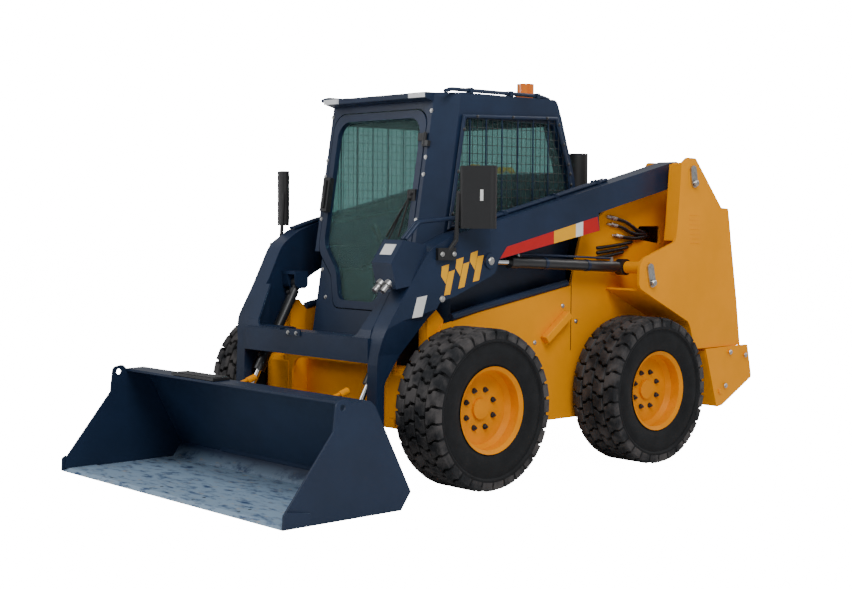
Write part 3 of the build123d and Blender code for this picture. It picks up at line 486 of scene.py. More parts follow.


# hoses first, as curves with a round section

hoses = {
    "radius": 9.0, "supplyRadius": 10.0,
    # three loops out of each tower's inner plate: start height, far end along the machine
    "loops": ((1152, 700), (1180, 740), (1208, 780)),
    "leaveY": 480, "leaveX": 622, "outX": 644, "rise": 30,
    # the supply hoses from the opening in the tower's inner plate to their silver fittings under the arm
    "supply": (
        ((617, 900, 1292), (640, 820, 1300), (642, 760, 1330), (641, 690, 1362), (634, 600, 1376)),
        ((617, 910, 1282), (640, 830, 1280), (643, 740, 1292), (641, 680, 1326), (634, 606, 1336)),
        ((617, 920, 1270), (640, 840, 1262), (643, 780, 1258), (641, 720, 1264), (634, 650, 1272)),
    ),
}
# distances from the hose's end and turned profiles of sleeve, nut, neck and the pin across the neck
fitting = {
    "sleeveAt": -26, "sleeve": ((0, 12.5), (24, 12.5), (26, 11), (34, 11)),
    "nutAt": 6, "nut": ((0, 14), (16, 14)), "neckAt": 20, "neck": ((0, 9), (26, 9)),
    "pinAt": 40, "pinSpan": (-14, 2), "pinRadius": 8,
}


def splineCurve(name, points, radius):
    data = bpy.data.curves.new(name, "CURVE")
    data.dimensions = "3D"
    data.bevel_depth = radius / 1000
    data.bevel_resolution = 4
    data.use_fill_caps = True
    spline = data.splines.new("NURBS")
    spline.points.add(len(points) - 1)
    for point, place in zip(spline.points, toRow(points)):
        point.co = (*place, 1.0)
    spline.order_u = 3
    spline.use_endpoint_u = True
    spline.resolution_u = 12
    piece = bpy.data.objects.new(name, data)
    bpy.context.scene.collection.objects.link(piece)
    return piece


def splineLength(piece):
    # the sum of the steps between the bare curve's points
    bare = piece.data.copy()
    bare.bevel_depth = 0
    holder = bpy.data.objects.new("measure", bare)
    mesh = bpy.data.meshes.new_from_object(holder)
    places = np.empty(len(mesh.vertices) * 3)
    mesh.vertices.foreach_get("co", places)
    bpy.data.objects.remove(holder)
    bpy.data.curves.remove(bare)
    bpy.data.meshes.remove(mesh)
    return float(np.linalg.norm(np.diff(places.reshape(-1, 3), axis=0), axis=1).sum())


def makeHose(name, points, body, radius, stands=()):
    piece = splineCurve(name, points, radius)
    piece.data.materials.append(materials["hose_rubber"])
    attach(piece, body)
    if stands:
        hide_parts(*stands)
    tuple(toRow(points[0])[0])
    splineLength(piece)


def supplyFitting(route):
    # turned pieces one after the other along the hose's last stretch
    tip = np.array(route[-1], float)
    way = tip - np.array(route[-2], float)
    way /= np.linalg.norm(way)
    pin = tip + way * fitting["pinAt"]
    start, end = fitting["pinSpan"]
    return joined([
        turnedForm(tip + way * fitting["sleeveAt"], way, fitting["sleeve"], 18),
        turnedForm(tip + way * fitting["nutAt"], way, fitting["nut"], 6),
        turnedForm(tip + way * fitting["neckAt"], way, fitting["neck"], 16),
        rodForm(pin + (start, 0, 0), pin + (end, 0, 0), fitting["pinRadius"], 14),
    ])


def makeHoses():
    x, out, y, rise = hoses["leaveX"], hoses["outX"], hoses["leaveY"], hoses["rise"]
    for side, flip in bothSides:
        for k, (z, far) in enumerate(hoses["loops"]):
            route = [(x, y, z), (out, y, z), (out, far, z + rise), (x, far, z + rise)]
            route = [(px * flip, py, pz) for px, py, pz in route]
            stands = ("hydraulic_hoses",) if side == "Left" and k == 0 else ()
            makeHose(f"towerHose{side}{k + 1}", route, "machine", hoses["radius"], stands)
        for k, route in enumerate(hoses["supply"]):
            mirroredRoute = [(px * flip, py, pz) for px, py, pz in route]
            makeHose(f"supplyHose{side}{k + 1}", mirroredRoute, "machine", hoses["supplyRadius"])
            form = handed(supplyFitting(route), flip)
            addPiece(f"supplyFitting{side}{k + 1}", form, "zinc_steel", "machine", 30)


makeHoses()
print("hoses made")

# tyres

tyre = {
    "base": 391.0, "radius": 412.0, "roundSides": 96,
    "blocksRound": 30, "columnCenters": (-114, -38, 38, 114),
    # a block's outline: shares of its half width across it, and of the wave along it
    "blockHalf": 33.0, "blockLong": 33.5, "wave": 12.0,
    "across": (-1, -0.2, 0.2, 1), "waves": (-1, -0.4, 1, 0.5),
    # how far its three rings stand below the base and the tread's radius, and how much each is wider
    "rootUnder": 4.0, "edgeUnder": 3.5, "topUnder": 0.3, "flare": (3.5, 0.4, -3.2),
    # the outer columns' outer edge: where its root is, how far its upper rings reach out, how far each drops
    "outerFrom": 60.0, "rootX": 149.2, "overReach": 2.0, "edgeDrop": (26, 10, 10),
    # section of a bar under the shoulder, as distances from the middle plane and radii, and its half angle
    "bar": ((143.0, 396.0), (149.6, 384.0), (149.8, 362.0), (140.0, 360.0), (138.0, 392.0)),
    "barHalf": 20.0 / 380,
    # half section from the tread's middle to the bead: (distance from the middle plane, radius)
    "section": (
        (0, 391), (70, 391), (132, 389), (143, 384), (147, 374), (146.5, 362), (149, 357), (149.5, 350),
        (146, 345), (141, 341), (140.5, 334), (145, 322), (148, 303), (147.5, 283), (144, 262), (138.5, 244),
        (134.5, 238), (133.5, 232), (130.5, 228), (126, 226), (124.5, 216), (122, 210),
    ),
}
axle = {"x": 804.0, "y": 653.5, "z": 412.0}


def tyreCarcass():
    # the whole section turned about the axle: x stays, the radius goes round by its sine and cosine
    half = list(tyre["section"])
    x, r = np.array([(-x, r) for x, r in reversed(half[1:])] + half, float).T[:, :, None]
    sides, count = tyre["roundSides"], len(x)
    angles = np.linspace(0, 2 * np.pi, sides, endpoint=False)
    corners = np.stack([x + 0 * angles, r * np.sin(angles), r * np.cos(angles)], axis=-1).reshape(-1, 3)
    row, k = np.meshgrid(np.arange(count), np.arange(sides), indexing="ij")
    n, here, after = (k + 1) % sides, row * sides, (row + 1) % count * sides
    quads = np.stack([here + k, after + k, after + n, here + n], axis=-1).reshape(-1, 4)
    return corners, [tuple(quad) for quad in quads.tolist()]


def treadBlocks():
    # wavy blocks in four columns, each column half a pitch on from the next, the outer ones running over the
    # shoulder: an outline at three radii, bent round the wheel by its middle's angle plus length over radius
    w, h = tyre["blockHalf"], tyre["blockLong"]
    grow, drop = np.array(tyre["flare"])[:, None], np.array(tyre["edgeDrop"])[:, None]
    top = tyre["radius"]
    rings = (tyre["base"] - tyre["rootUnder"], top - tyre["edgeUnder"], top - tyre["topUnder"])
    radius = np.array(rings)[:, None]
    share, waves = np.array(tyre["across"]), np.array(tyre["waves"])
    x = w * np.concatenate([share, share[::-1]])
    faces = [face[::-1] for face in ringFaces(len(rings), len(x))]
    pitch = 2 * np.pi / tyre["blocksRound"]
    forms = []
    for c, center in enumerate(tyre["columnCenters"]):
        sign = np.sign(center)
        wave = waves * (tyre["wave"] if c % 2 else -tyre["wave"])
        s = np.concatenate([wave - h, wave[::-1] + h])
        over = (abs(center) > tyre["outerFrom"]) & (x * sign >= w)
        reach = center + sign * (w + tyre["overReach"] + np.minimum(grow, 0))
        reach[0] = sign * tyre["rootX"]
        px = np.where(over, reach, center + (x + np.sign(x) * grow))
        r = np.where(over, radius - drop, radius)
        middle = (np.arange(tyre["blocksRound"]) + 0.5 * (c % 2)) * pitch
        angle = middle[:, None, None] + (s + np.sign(s) * grow) / top
        corners = np.stack([px + 0 * angle, r * np.sin(angle), r * np.cos(angle)], axis=-1)
        forms += [(block, faces) for block in corners.reshape(len(middle), -1, 3)]
    return forms


def shoulderBars():
    # short bars down the outer shoulder, one below each outer block: a section of five corners that is
    # carried round from the middle's angle less the half angle to the middle's angle plus it
    x, r = np.array(tyre["bar"]).T[:, None, :, None]
    near = np.arange(len(tyre["bar"])) * 2
    count = 2 * len(tyre["bar"])
    quads = np.stack([near, near + 1, (near + 3) % count, (near + 2) % count], axis=-1)
    faces = [tuple(near.tolist()), tuple((near + 1)[::-1].tolist())]
    faces += [tuple(quad) for quad in quads.tolist()]
    pitch = 2 * np.pi / tyre["blocksRound"]
    forms = []
    for sign in (-1, 1):
        middle = (np.arange(tyre["blocksRound"]) + (0.5 if sign > 0 else 0.0)) * pitch
        angle = middle[:, None, None] + np.array([-tyre["barHalf"], tyre["barHalf"]])
        corners = np.stack([sign * x + 0 * angle, r * np.sin(angle), r * np.cos(angle)], axis=-1)
        loops = faces if sign > 0 else [face[::-1] for face in faces]
        forms += [(bar, loops) for bar in corners.reshape(len(middle), -1, 3)]
    return forms


wheel = {
    "nutCircle": 101.6, "nutCount": 8, "nutRadius": 12.0, "nutHeight": 14.0, "discX": 842.0,
    "stud": ((0, 6.5), (21, 6.5), (23, 5)),
    # the valve's direction from the axle, its seat and its turned profile
    "valve": (-141.0, 153.0), "valveCircle": 196.0, "valveX": 884.0,
    "valveProfile": ((-30, 9), (0, 9), (6, 6), (34, 6), (36, 4.5)),
}


def wheelTrim(y):
    # nuts with their studs on a circle, by the sine and cosine of each one's angle, and the valve's stem
    outwards = (1, 0, 0)
    forms = []
    for k in range(wheel["nutCount"]):
        a = 2 * math.pi * (k + 0.5) / wheel["nutCount"]
        dy, dz = wheel["nutCircle"] * math.sin(a), wheel["nutCircle"] * math.cos(a)
        place = (wheel["discX"], y + dy, axle["z"] + dz)
        forms.append(boltForm(place, outwards, wheel["nutRadius"], wheel["nutHeight"]))
        forms.append(turnedForm(place, outwards, wheel["stud"], 12))
    dy, dz = wheel["valve"]
    reach, circle = math.hypot(dy, dz), wheel["valveCircle"]
    seat = (wheel["valveX"], y + dy * circle / reach, axle["z"] + dz * circle / reach)
    return joined(forms), turnedForm(seat, outwards, wheel["valveProfile"], 14)


def makeWheels():
    carcass = tyreCarcass()
    blocks = joined(treadBlocks() + shoulderBars())
    for end, y in (("front", -axle["y"]), ("rear", axle["y"])):
        nuts, stem = wheelTrim(y)
        center = (axle["x"], y, axle["z"])
        for side, flip in bothSides:
            name = end.capitalize() + side
            body = f"wheel_{end}_{side.lower()}"
            whole = handed((carcass[0] + center, carcass[1]), flip)
            piece = addPiece("tyre" + name, whole, "tyre_rubber", body, 38)
            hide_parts(f"tyre_{end}_{side.lower()}")
            whole = handed((blocks[0] + center, blocks[1]), flip)
            repaint(addPiece("tread" + name, whole, "tyre_rubber", body, 38), treadRubber)
            addPiece("wheelNuts" + name, handed(nuts, flip), "cast_iron", body)
            addPiece("valveStem" + name, handed(stem, flip), "rim_paint", body)


makeWheels()
print("wheels made")

# stripes, hash marks and blank plates on the arms, each lifted a little off its wall

nose = {"x": 760.0, "y": -500.0, "runX": 115.0, "runY": 500.0}  # the arm's slanted front wall, from its bend
decals = {
    "thick": 0.6, "gap": 0.1, "stripeGap": 0.05,
    "upper": ((-381, 1226), (324, 1384)), "lower": ((-432, 1164), (343, 1307)),
    "cuts": (-25, 149, 207), "finishes": ("stripeRed", "stripeOrange", "blankWhite", "stripeRed"),
    "boxPlate": ((535, -1020.6, 1241.8), (622, -1020.6, 1241.8), (622, -1057, 1190), (535, -1057, 1190)),
    "boxWay": (0, -114.0, 80.0),
    "legPlate": ((-430, 975), (-372, 985), (-400, 880), (-458, 872)),
}
hashMarks = (
    ((-289, 1129), (-246, 1141), (-254, 1091), (-265, 1040), (-293, 1080)),
    ((-250, 1101), (-213, 1112), (-240, 987), (-275, 982)),
    ((-203, 1164), (-162, 1175), (-169, 1129), (-181, 1078), (-209, 1120)),
    ((-163, 1141), (-127, 1151), (-156, 1024), (-192, 1015)),
    ((-119, 1195), (-78, 1208), (-83, 1163), (-95, 1109), (-125, 1154)),
    ((-78, 1179), (-42, 1184), (-69, 1056), (-106, 1048)),
)


def onNose(s, z, out=0.0):
    # a place on the arm's slanted front wall: s runs forward to back along the wall, from its bend
    length = math.hypot(nose["runX"], nose["runY"])
    ux, uy = nose["runX"] / length, nose["runY"] / length
    return (nose["x"] + s * ux + out * uy, nose["y"] + s * uy - out * ux, z)


def decal(name, outline, away, finishName):
    form = handed(plateForm(outline, away), -1 if name.endswith("Right") else 1)
    repaint(addPiece(name, form, "dark_blue_paint", "arms"), decalPaint[finishName])


def noseDecal(name, mark, finishName):
    gap = decals["gap"]
    away = np.array(onNose(0, 0, gap + decals["thick"])) - onNose(0, 0, gap)
    decal(name, [onNose(s, z, gap) for s, z in mark], away, finishName)


def makeDecalPaint():
    made = {}
    for name in ("stripeRed", "stripeOrange", "blankWhite"):
        made[name] = newMaterial(name, paint[name], 0.42)
        mottle(made[name], 12.0, shade(paint[name], 0.9), paint[name])
    return made


decalPaint = makeDecalPaint()


def stripeLine(line):
    # the line's ends, with the heights of the cuts between them in proportion
    (y0, z0), (y1, z1) = line
    return [line[0], *[(y, z0 + (y - y0) * (z1 - z0) / (y1 - y0)) for y in decals["cuts"]], line[1]]


def makeArmMarks():
    tops, feet = stripeLine(decals["upper"]), stripeLine(decals["lower"])
    stripeX = nose["x"] + decals["stripeGap"]
    for side, _ in bothSides:
        for k, finish in enumerate(decals["finishes"]):
            corners = [feet[k], feet[k + 1], tops[k + 1], tops[k]]
            outline = [(stripeX, y, z) for y, z in corners]
            decal(f"armStripe{k + 1}{side}", outline, (decals["thick"], 0, 0), finish)
        for k, mark in enumerate(hashMarks):
            noseDecal(f"hashMark{k + 1}{side}", mark, "stripeOrange")
    away = np.array(decals["boxWay"]) / np.linalg.norm(decals["boxWay"])
    outline = [np.array(place, float) + away * decals["gap"] for place in decals["boxPlate"]]
    decal("couplerBoxPlate", outline[::-1], away * decals["thick"], "blankWhite")
    noseDecal("legPlateLeft", decals["legPlate"], "blankWhite")


makeArmMarks()
print("arm marks made")

# mesh on the cab's side guards, with a cap beside its wires at each of three shares of every edge

guardMesh = {
    "x": 536.2, "wire": 1.7, "weave": 1.5, "stepY": 37.0, "stepZ": 46.0,
    "fromY": -570, "toY": 340, "fromZ": 1345, "toZ": 1920,
    "capShares": (0.12, 0.5, 0.88), "capOut": 11, "capRadius": 9, "capHeight": 5,
    "outline": [(-480, 1905), (-582, 1325), (350, 1480), (330, 1640), (225, 1925)],
}


def spanInside(outline, axis, value):
    # the two places where a line at this value crosses the outline, each in proportion along its edge
    hits = []
    for (y0, z0), (y1, z1) in zip(outline, outline[1:] + outline[:1]):
        a, b = (y0, y1) if axis == 0 else (z0, z1)
        if (a - value) * (b - value) < 0:
            t = (value - a) / (b - a)
            hits.append((z0 + t * (z1 - z0)) if axis == 0 else (y0 + t * (y1 - y0)))
    return (min(hits), max(hits)) if len(hits) >= 2 else None


def makeGuardMesh():
    forms = []
    outline = guardMesh["outline"]
    uprights = np.arange(guardMesh["fromY"], guardMesh["toY"], guardMesh["stepY"])
    levels = np.arange(guardMesh["fromZ"], guardMesh["toZ"], guardMesh["stepZ"])
    for axis, values, x in ((0, uprights, guardMesh["x"] + guardMesh["weave"]),
                            (1, levels, guardMesh["x"] - guardMesh["weave"])):
        for value in values:
            span = spanInside(outline, axis, value)
            if span:
                start, end = [(x, value, place) if axis == 0 else (x, place, value) for place in span]
                profile = [(0, guardMesh["wire"]), (span[1] - span[0], guardMesh["wire"])]
                forms.append(turnedForm(start, np.array(end) - start, profile, 6))
    for (y0, z0), (y1, z1) in zip(outline, outline[1:] + outline[:1]):
        for t in guardMesh["capShares"]:
            place = (guardMesh["x"] + guardMesh["capOut"], y0 + (y1 - y0) * t, z0 + (z1 - z0) * t)
            forms.append(capForm(place, (1, 0, 0), guardMesh["capRadius"], guardMesh["capHeight"]))
    whole = joined(forms)
    for side, flip in bothSides:
        addPiece("guardMesh" + side, handed(whole, flip), "black_paint", "machine")


makeGuardMesh()
print("guard mesh made")

# bolts and caps

frontWay = (0, -1, cabFace["lean"])
noseWay = (0.9746, -0.2242, 0)
boltSets = {
    # name: (finish, body, radius, height, direction, places on the left side)
    "postBolts": ("zinc_steel", "machine", 9.0, 7.0, frontWay,
                  [(412, frontY(z) + 1.0, z) for z in (1934, 1690, 1600)]),
    "postFeetBolts": ("zinc_steel", "machine", 9.0, 7.0, frontWay,
                      [(x, frontY(z) + 1.0, z) for x, z in ((398, 1361), (330, 1080), (270, 930))]),
    "towerBolts": ("zinc_steel", "machine", 15.0, 9.0, (1, 0, 0), [(917, 999, 1579), (917, 632, 1017)]),
    "mirrorClampBolts": ("zinc_steel", "arms", 10.0, 7.0, noseWay,
                         [onNose(-300, 1192, 26), onNose(-231, 1192, 26)]),
    "legBolts": ("zinc_steel", "arms", 13.0, 8.0, noseWay, [onNose(-285, 965)]),
    "armBolts": ("zinc_steel", "arms", 17.0, 9.0, (1, 0, 0), [(766, -501, 1154)]),
    "chassisBolts": ("zinc_steel", "machine", 10.0, 7.0, (1, 0, 0),
                     [(622, -22, 698), (622, 310, 800), (622, 200, 890)]),
}
# the bolts through the bucket's cutting edge: two rows behind its front, four in each
edgeBolts = {
    "edgeY": -1997, "rows": (62, 125), "shares": (-1.5, -0.5, 0.5, 1.5), "pitch": 380, "z": 1.0,
    "profile": ((0, 12.5), (11.5, 12.5), (15.2, 9)),
}


def makeBolts():
    for name, (finish, body, radius, height, way, places) in boltSets.items():
        form = joined([boltForm(place, way, radius, height) for place in places])
        addPiece(name, joined([form, mirrored(form)]), finish, body, 30)
    places = [(share * edgeBolts["pitch"], edgeBolts["edgeY"] + row, edgeBolts["z"])
              for row in edgeBolts["rows"] for share in edgeBolts["shares"]]
    heads = [turnedForm(place, (0, 0, 1), edgeBolts["profile"], 16) for place in places]
    addPiece("edgeBolts", joined(heads), "cast_iron", "bucket", 30)


makeBolts()
print("bolts made")

# cab front: wiper, door handle and lamp lenses; places are (x, z) on the door's pane

wiper = {
    "arms": (((353, 1503), (194, 1269)), ((338, 1476), (291, 1271))), "out": 12.0, "armRadius": 5.0,
    "capRadius": 14, "capHeight": 20, "capUnder": 10, "bladeSteps": ((95, 150), (-30, -95)), "bladeOut": 4,
    "bladeRadius": 4.5, "motorX": (318, 378), "motorY": (-12, 20), "motorZ": (1462, 1522),
    "motorMiddle": 1500,
}
doorHandle = {"x": -352, "grip": (1420, 1570), "feet": (1424, 1566), "out": 40, "footOut": (28, 42)}
lampLens = {
    "x": (306, 410), "y": (-664.9, -664.0), "z": (2004, 2025), "bulbIn": 26, "bulbY": -664.5, "bulbZ": 2014.5,
    "bulb": ((0, 9.5), (0.45, 9.0)),
}


def onDoor(x, z, out=0.0):
    # a place on the door's pane, moved out along the leaning wall's own normal
    lean = cabFace["lean"]
    length = math.hypot(1, lean)
    return (x, frontY(z) - out / length, z + out * lean / length)


def makeWiper():
    out = wiper["out"]
    forms = []
    for pivot, tip in wiper["arms"]:
        forms.append(rodForm(onDoor(*pivot, out), onDoor(*tip, out), wiper["armRadius"], 10))
        root = onDoor(*pivot, out - wiper["capUnder"])
        forms.append(capForm(root, frontWay, wiper["capRadius"], wiper["capHeight"]))
    x, z = wiper["arms"][0][1]
    start, end = [onDoor(x + dx, z + dz, wiper["bladeOut"]) for dx, dz in wiper["bladeSteps"]]
    forms.append(rodForm(start, end, wiper["bladeRadius"], 8))
    wall = frontY(wiper["motorMiddle"])
    low, high = [(x, wall + y, z) for x, y, z in zip(wiper["motorX"], wiper["motorY"], wiper["motorZ"])]
    forms.append(boxForm(low, high))
    addPiece("doorWiper", joined(forms), "black_plastic", "door")


def makeDoorHandle():
    x, out = doorHandle["x"], doorHandle["out"]
    low, high = doorHandle["grip"]
    near, far = doorHandle["footOut"]
    feet = [rodForm(onDoor(x, z, near), onDoor(x, z, far), 8, 12) for z in doorHandle["feet"]]
    addPiece("doorHandle", joined([rodForm(onDoor(x, low, out), onDoor(x, high, out), 9, 14), *feet]),
             "black_plastic", "door")


def makeLampLenses():
    forms = []
    for flip in (1, -1):
        low, high = sorted(x * flip for x in lampLens["x"])
        forms.append(boxForm(*zip((low, high), lampLens["y"], lampLens["z"])))
        for x in (low + lampLens["bulbIn"], high - lampLens["bulbIn"]):
            place = (x, lampLens["bulbY"], lampLens["bulbZ"])
            forms.append(turnedForm(place, (0, -1, 0), lampLens["bulb"], 20))
    addPiece("lampLenses", joined(forms), "lamp_lens", "machine")


makeWiper()
makeDoorHandle()
makeLampLenses()
print("cab front made")

# inside the cab: seat pads, consoles, levers and gauge

seatPads = {
    "cushion": ((-240, -190, 985), (240, 150, 1078)), "back": ((-215, 128, 1000), (215, 280, 1508)),
    "crown": 14.0, "points": 14, "roundness": 6, "swell": 0.6, "fill": 0.7,
    "seamAt": 0.55, "seamWide": 0.06, "seamDeep": 0.35, "backLean": 0.13, "backMiddle": 1254,
}
controls = {
    "consoleX": (268, 385), "consoleY": (-330, 120), "consoleZ": (640, 1085), "leverX": 326,
    "lever": ((-290, 1080), (-300, 1190), (-330, 1250)), "knobAt": (-328, 1245), "knobWay": (0, -0.45, 1),
    "knob": ((0, 16), (30, 21), (80, 19), (96, 8)),
    "gaugeAt": (-105, -585, 1085), "gaugeWay": (0, -0.3, 1),
    "gauge": ((0, 34), (26, 36), (30, 33), (30, 27), (6, 25)),
    "gaugeBox": ((-340, -610, 650), (-40, -560, 1085)),
}


def padForm(low, high, axis):
    # a crowned pad: the six grids of a cube, each point divided by the root of the sum of its places' powers,
    # then moved out along the axis by the cosines of the two other places, less a bell curve at each seam
    n, power = seatPads["points"], seatPads["roundness"]
    line = np.linspace(-1, 1, n)
    low, high = np.array(low, float), np.array(high, float)
    i, j = np.meshgrid(np.arange(n - 1), np.arange(n - 1), indexing="ij")
    quads = np.stack([i * n + j, (i + 1) * n + j, (i + 1) * n + j + 1, i * n + j + 1], axis=-1).reshape(-1, 4)
    grids, faces = [], []
    for a in range(3):
        for end in (-1, 1):
            grid = np.zeros((n, n, 3))
            grid[..., a] = end
            grid[..., (a + 1) % 3], grid[..., (a + 2) % 3] = np.meshgrid(line, line, indexing="ij")
            shown = quads if end > 0 else quads[:, ::-1]
            faces += [tuple(quad) for quad in (shown + len(grids) * n * n).tolist()]
            grids.append(grid.reshape(-1, 3))
    points = np.vstack(grids)
    points = points / ((np.abs(points) ** power).sum(axis=1) ** (1 / power))[:, None]
    others = [k for k in range(3) if k != axis]
    swell = np.prod([np.cos(points[:, k] * np.pi / 2).clip(0) ** seatPads["swell"] for k in others], axis=0)
    bell = np.exp(-((np.abs(points[:, others[0]]) - seatPads["seamAt"]) / seatPads["seamWide"]) ** 2)
    seam = 1 - seatPads["seamDeep"] * bell
    placed = (low + high) / 2 + points * ((high - low) / 2)
    rise = seatPads["crown"] * (swell * seam - seatPads["swell"]) * (np.abs(points[:, axis]) > 0.5)
    placed[:, axis] += np.sign(points[:, axis]) * rise
    return placed, faces


def makeSeat():
    cushion = padForm(*seatPads["cushion"], 2)
    points, faces = padForm(*seatPads["back"], 1)
    points[:, 1] += (seatPads["backMiddle"] - points[:, 2]) * seatPads["backLean"]
    for name, form in (("seatCushion", cushion), ("seatBack", (points, faces))):
        piece = addPiece(name, form, "seat_vinyl", "machine", 60)
        if name == "seatCushion":
            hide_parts("seat_cushions")


def makeControls():
    # side consoles with a lever and its knob on each, then a gauge ring on a post in front
    forms = []
    for flip in (1, -1):
        x0, x1 = sorted(x * flip for x in controls["consoleX"])
        forms.append(boxForm(*zip((x0, x1), controls["consoleY"], controls["consoleZ"])))
        x = controls["leverX"] * flip
        forms.append(tubeForm(roundCorners([(x, y, z) for y, z in controls["lever"]], 60), 9))
        forms.append(turnedForm((x, *controls["knobAt"]), controls["knobWay"], controls["knob"], 18))
    addPiece("cabConsoles", joined(forms), "black_plastic", "machine", bevel=8)
    ring = turnedForm(controls["gaugeAt"], controls["gaugeWay"], controls["gauge"], 28)
    addPiece("cabGauge", joined([ring, boxForm(*controls["gaugeBox"])]), "black_plastic", "machine", bevel=8)


makeSeat()
makeControls()
print("cab inside made")

# details of arms, cylinders and body

liftLine = {
    "base": (613, 1099), "eye": (-501, 1154), "x": 700.0,  # the lift cylinder's two pins, as (y, z)
    "pipe": ((110, 45), (200, 45), (820, 45), (860, 34)), "pipeRadius": 6.0, "bend": 30,
    "clampsAt": (300, 640), "clamp": ((0, 33.5), (22, 33.5)),
    "fittingsAt": (95, 858), "fittingUp": 30, "fitting": ((0, 13), (12, 13), (12, 9), (24, 9)),
}
pipeClamp = {
    "at": (-330, 60, 400), "x": (650, 702), "half": 14, "z": 1467, "slope": 0.238, "gap": 0.3, "high": 24,
    "boltX": 676, "boltUp": 23, "boltRadius": 7, "boltHeight": 6,
}
roofTube = {
    "route": ((512, -600, 2030), (512, -560, 2044), (512, 120, 2044), (512, 190, 2028)),
    "bend": 40, "radius": 11, "clipsAt": (-420, -120, 90), "clipX": (494, 530), "clipHalf": 11,
    "clipZ": (2028, 2058),
}
bumperBolts = {"places": ((1344, 588), (1494, 562), (1300, 392)), "radius": 12, "height": 8}
bodyTrim = {
    "step": ((622, 48, 691), (622, 236, 826), (622, 210, 862), (622, 22, 727)), "stepOut": 46,
    "seam": ((621.6, 266, 640), (623.6, 270, 1064)),
    "ribs": 7, "ribX": (894.9, 896.6), "ribY": (965, 1055), "ribTop": 1400, "ribStep": 27,
    "ribShift": 2, "ribHigh": 6,
    "slats": 16, "slatX": (-430, 430), "slatY": (1383.5, 1387.5), "slatZ": (912, 926), "slatStep": 26,
}
grip = {
    # name: how many, step along x, lowest and highest corner of the first, finish and body
    "crossTread": (9, 32, (-500, -1112, 777), (-478, -1016, 780), "dark_blue_paint", "arms"),
    "bucketStepTread": (11, 34, (-512, -1600, 548), (-490, -1504, 551), "black_paint", "bucket"),
}
crossBolts = {"x": (-120, -50), "y": -1135, "z": 762, "radius": 9, "height": 7}
couplerRings = {
    "x": (545, 605), "y": -1020.0, "z": 1075.0, "fall": 40.5, "chamfer": 1.5, "wide": 6,
    "rings": ((40, 25.2), (50, 25.2), (84, 17.0), (94, 17.0)),
}
mirrorPlates = {
    "center": (817.0, -648.0, 1479.0), "turn": 30, "out": 26.1, "reflectorThick": 1.2, "glassThick": 1.0,
    "reflector": ((18, 38), (34, 38), (34, -18), (18, -18)),
    "glass": ((-76, -140), (-76, 140), (76, 140), (76, -140)),
}


def onCylinder(along, up):
    # a place measured from the lift cylinder's base pin: along towards its eye, up across it
    (y0, z0), (y1, z1) = liftLine["base"], liftLine["eye"]
    length = math.hypot(y1 - y0, z1 - z0)
    dy, dz = (y1 - y0) / length, (z1 - z0) / length
    return np.array((liftLine["x"], y0 + dy * along + dz * up, z0 + dz * along - dy * up))


def makeCylinderLines():
    up = liftLine["fittingUp"]
    line = [onCylinder(*place) for place in liftLine["pipe"]]
    forms = [tubeForm(roundCorners(line, liftLine["bend"]), liftLine["pipeRadius"])]
    for k in liftLine["clampsAt"]:
        start = onCylinder(k, 0)
        forms.append(turnedForm(start, onCylinder(k + 10, 0) - start, liftLine["clamp"], 28))
    steel = joined(forms)
    fittings = joined([
        turnedForm(onCylinder(k, up), onCylinder(k, up + 10) - onCylinder(k, up), liftLine["fitting"], 6)
        for k in liftLine["fittingsAt"]
    ])
    for side, flip in bothSides:
        body = "lift_barrel_" + side.lower()
        addPiece("cylinderPipe" + side, handed(steel, flip), "dark_blue_paint", body)
        addPiece("cylinderFittings" + side, handed(fittings, flip), "zinc_steel", body, 30)


def makePipeClamps():
    forms = []
    (x0, x1), half = pipeClamp["x"], pipeClamp["half"]
    for y in pipeClamp["at"]:
        z = pipeClamp["z"] + y * pipeClamp["slope"]
        forms.append(boxForm((x0, y - half, z + pipeClamp["gap"]), (x1, y + half, z + pipeClamp["high"])))
        place = (pipeClamp["boltX"], y, z + pipeClamp["boltUp"])
        forms.append(capForm(place, (0, 0, 1), pipeClamp["boltRadius"], pipeClamp["boltHeight"]))
    whole = joined(forms)
    for side, flip in bothSides:
        addPiece("pipeClamps" + side, handed(whole, flip), "dark_blue_paint", "arms", bevel=3)


def makeRoofTrim():
    # a light tube with clips along each side of the roof
    (x0, x1), (z0, z1), half = roofTube["clipX"], roofTube["clipZ"], roofTube["clipHalf"]
    tube = tubeForm(roundCorners(roofTube["route"], roofTube["bend"]), roofTube["radius"])
    whole = joined([tube] + [boxForm((x0, y - half, z0), (x1, y + half, z1)) for y in roofTube["clipsAt"]])
    for side, flip in bothSides:
        addPiece("roofTube" + side, handed(whole, flip), "dark_blue_paint", "machine", bevel=2)


def makeBumperBolts():
    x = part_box("rear_bumper")[1].x * 1000
    radius, height = bumperBolts["radius"], bumperBolts["height"]
    form = joined([boltForm((x, y, z), (1, 0, 0), radius, height) for y, z in bumperBolts["places"]])
    addPiece("bumperBolts", joined([form, mirrored(form)]), "zinc_steel", "machine", 30)


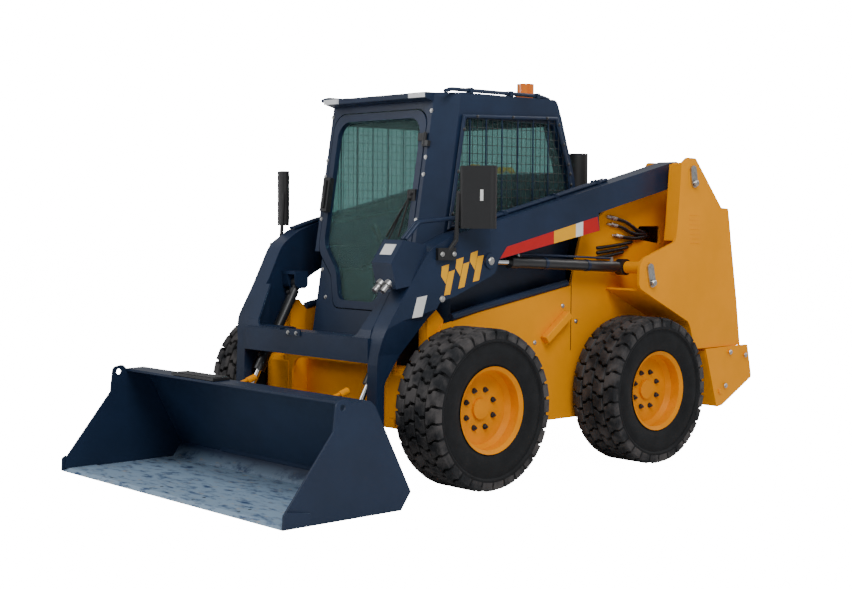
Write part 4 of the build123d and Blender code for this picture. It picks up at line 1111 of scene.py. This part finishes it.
def makeBodyDetails():
    # step boxes, seam strips and ribbed panels on the body's sides, then the tailgate's slats
    (x0, x1), (y0, y1) = bodyTrim["ribX"], bodyTrim["ribY"]
    step, seam = plateForm(bodyTrim["step"], (bodyTrim["stepOut"], 0, 0)), boxForm(*bodyTrim["seam"])
    ribs = []
    for k in range(bodyTrim["ribs"]):
        z, back = bodyTrim["ribTop"] - k * bodyTrim["ribStep"], k * bodyTrim["ribShift"]
        ribs.append(boxForm((x0, y0 + back, z - bodyTrim["ribHigh"]), (x1, y1 + back, z)))
    for side, flip in bothSides:
        addPiece("sideStep" + side, handed(step, flip), "orange_yellow_paint", "machine", bevel=5)
        addPiece("bodySeam" + side, handed(seam, flip), "black_paint", "machine")
        addPiece("towerPanel" + side, handed(joined(ribs), flip), "orange_yellow_paint", "machine", bevel=0.6)
    slats = []
    for k in range(bodyTrim["slats"]):
        heights = [z + bodyTrim["slatStep"] * k for z in bodyTrim["slatZ"]]
        slats.append(boxForm(*zip(bodyTrim["slatX"], bodyTrim["slatY"], heights)))
    addPiece("tailSlats", joined(slats), "black_plastic", "gate", bevel=2)


def makeCrossTrim():
    for name, (count, step, low, high, finish, body) in grip.items():
        strips = []
        for k in range(count):
            strips.append(boxForm((low[0] + step * k, *low[1:]), (high[0] + step * k, *high[1:])))
        addPiece(name, joined(strips), finish, body, bevel=1)
    y, z, radius, height = (crossBolts[key] for key in ("y", "z", "radius", "height"))
    bolts = [boltForm((x, y, z), (0, -1, 0), radius, height) for x in crossBolts["x"]]
    addPiece("crossBolts", joined(bolts), "zinc_steel", "arms", 30)


def makeCouplerRings():
    # chamfered rings turned about the quick couplers' axes, which fall forwards
    fall = math.radians(couplerRings["fall"])
    ahead = np.array([0, -math.cos(fall), -math.sin(fall)])
    soft, wide = couplerRings["chamfer"], couplerRings["wide"]
    forms = []
    for x in couplerRings["x"]:
        root = np.array([x, couplerRings["y"], couplerRings["z"]])
        for along, radius in couplerRings["rings"]:
            profile = [(0, radius - soft), (soft, radius), (wide - soft, radius), (wide, radius - soft)]
            forms.append(turnedForm(root + ahead * along, ahead, profile, 28))
    addPiece("couplerRings", joined(forms), "zinc_steel", "arms", 40)


def makeMirrorPlates():
    # a blank reflector ahead of each mirror and its glass behind, on planes turned about the upright
    turn = math.radians(mirrorPlates["turn"])
    center = np.array(mirrorPlates["center"])
    right = np.array([math.cos(turn), math.sin(turn), 0])
    ahead = np.array([math.sin(turn), -math.cos(turn), 0])
    upright = np.array([0, 0, 1.0])
    face, back = center + ahead * mirrorPlates["out"], center - ahead * mirrorPlates["out"]
    reflector = plateForm([face + right * dx + upright * dz for dx, dz in mirrorPlates["reflector"]],
                          ahead * mirrorPlates["reflectorThick"])
    glass = plateForm([back + right * dx + upright * dz for dx, dz in mirrorPlates["glass"]],
                      -ahead * mirrorPlates["glassThick"])
    for side, flip in bothSides:
        repaint(addPiece("mirrorReflector" + side, handed(reflector, flip), "black_plastic", "arms"),
                decalPaint["blankWhite"])
        addPiece("mirrorGlass" + side, handed(glass, flip), "chrome_rod", "arms")


makeCylinderLines()
makePipeClamps()
makeRoofTrim()
makeBumperBolts()
makeBodyDetails()
makeCrossTrim()
makeCouplerRings()
makeMirrorPlates()
print("details made")
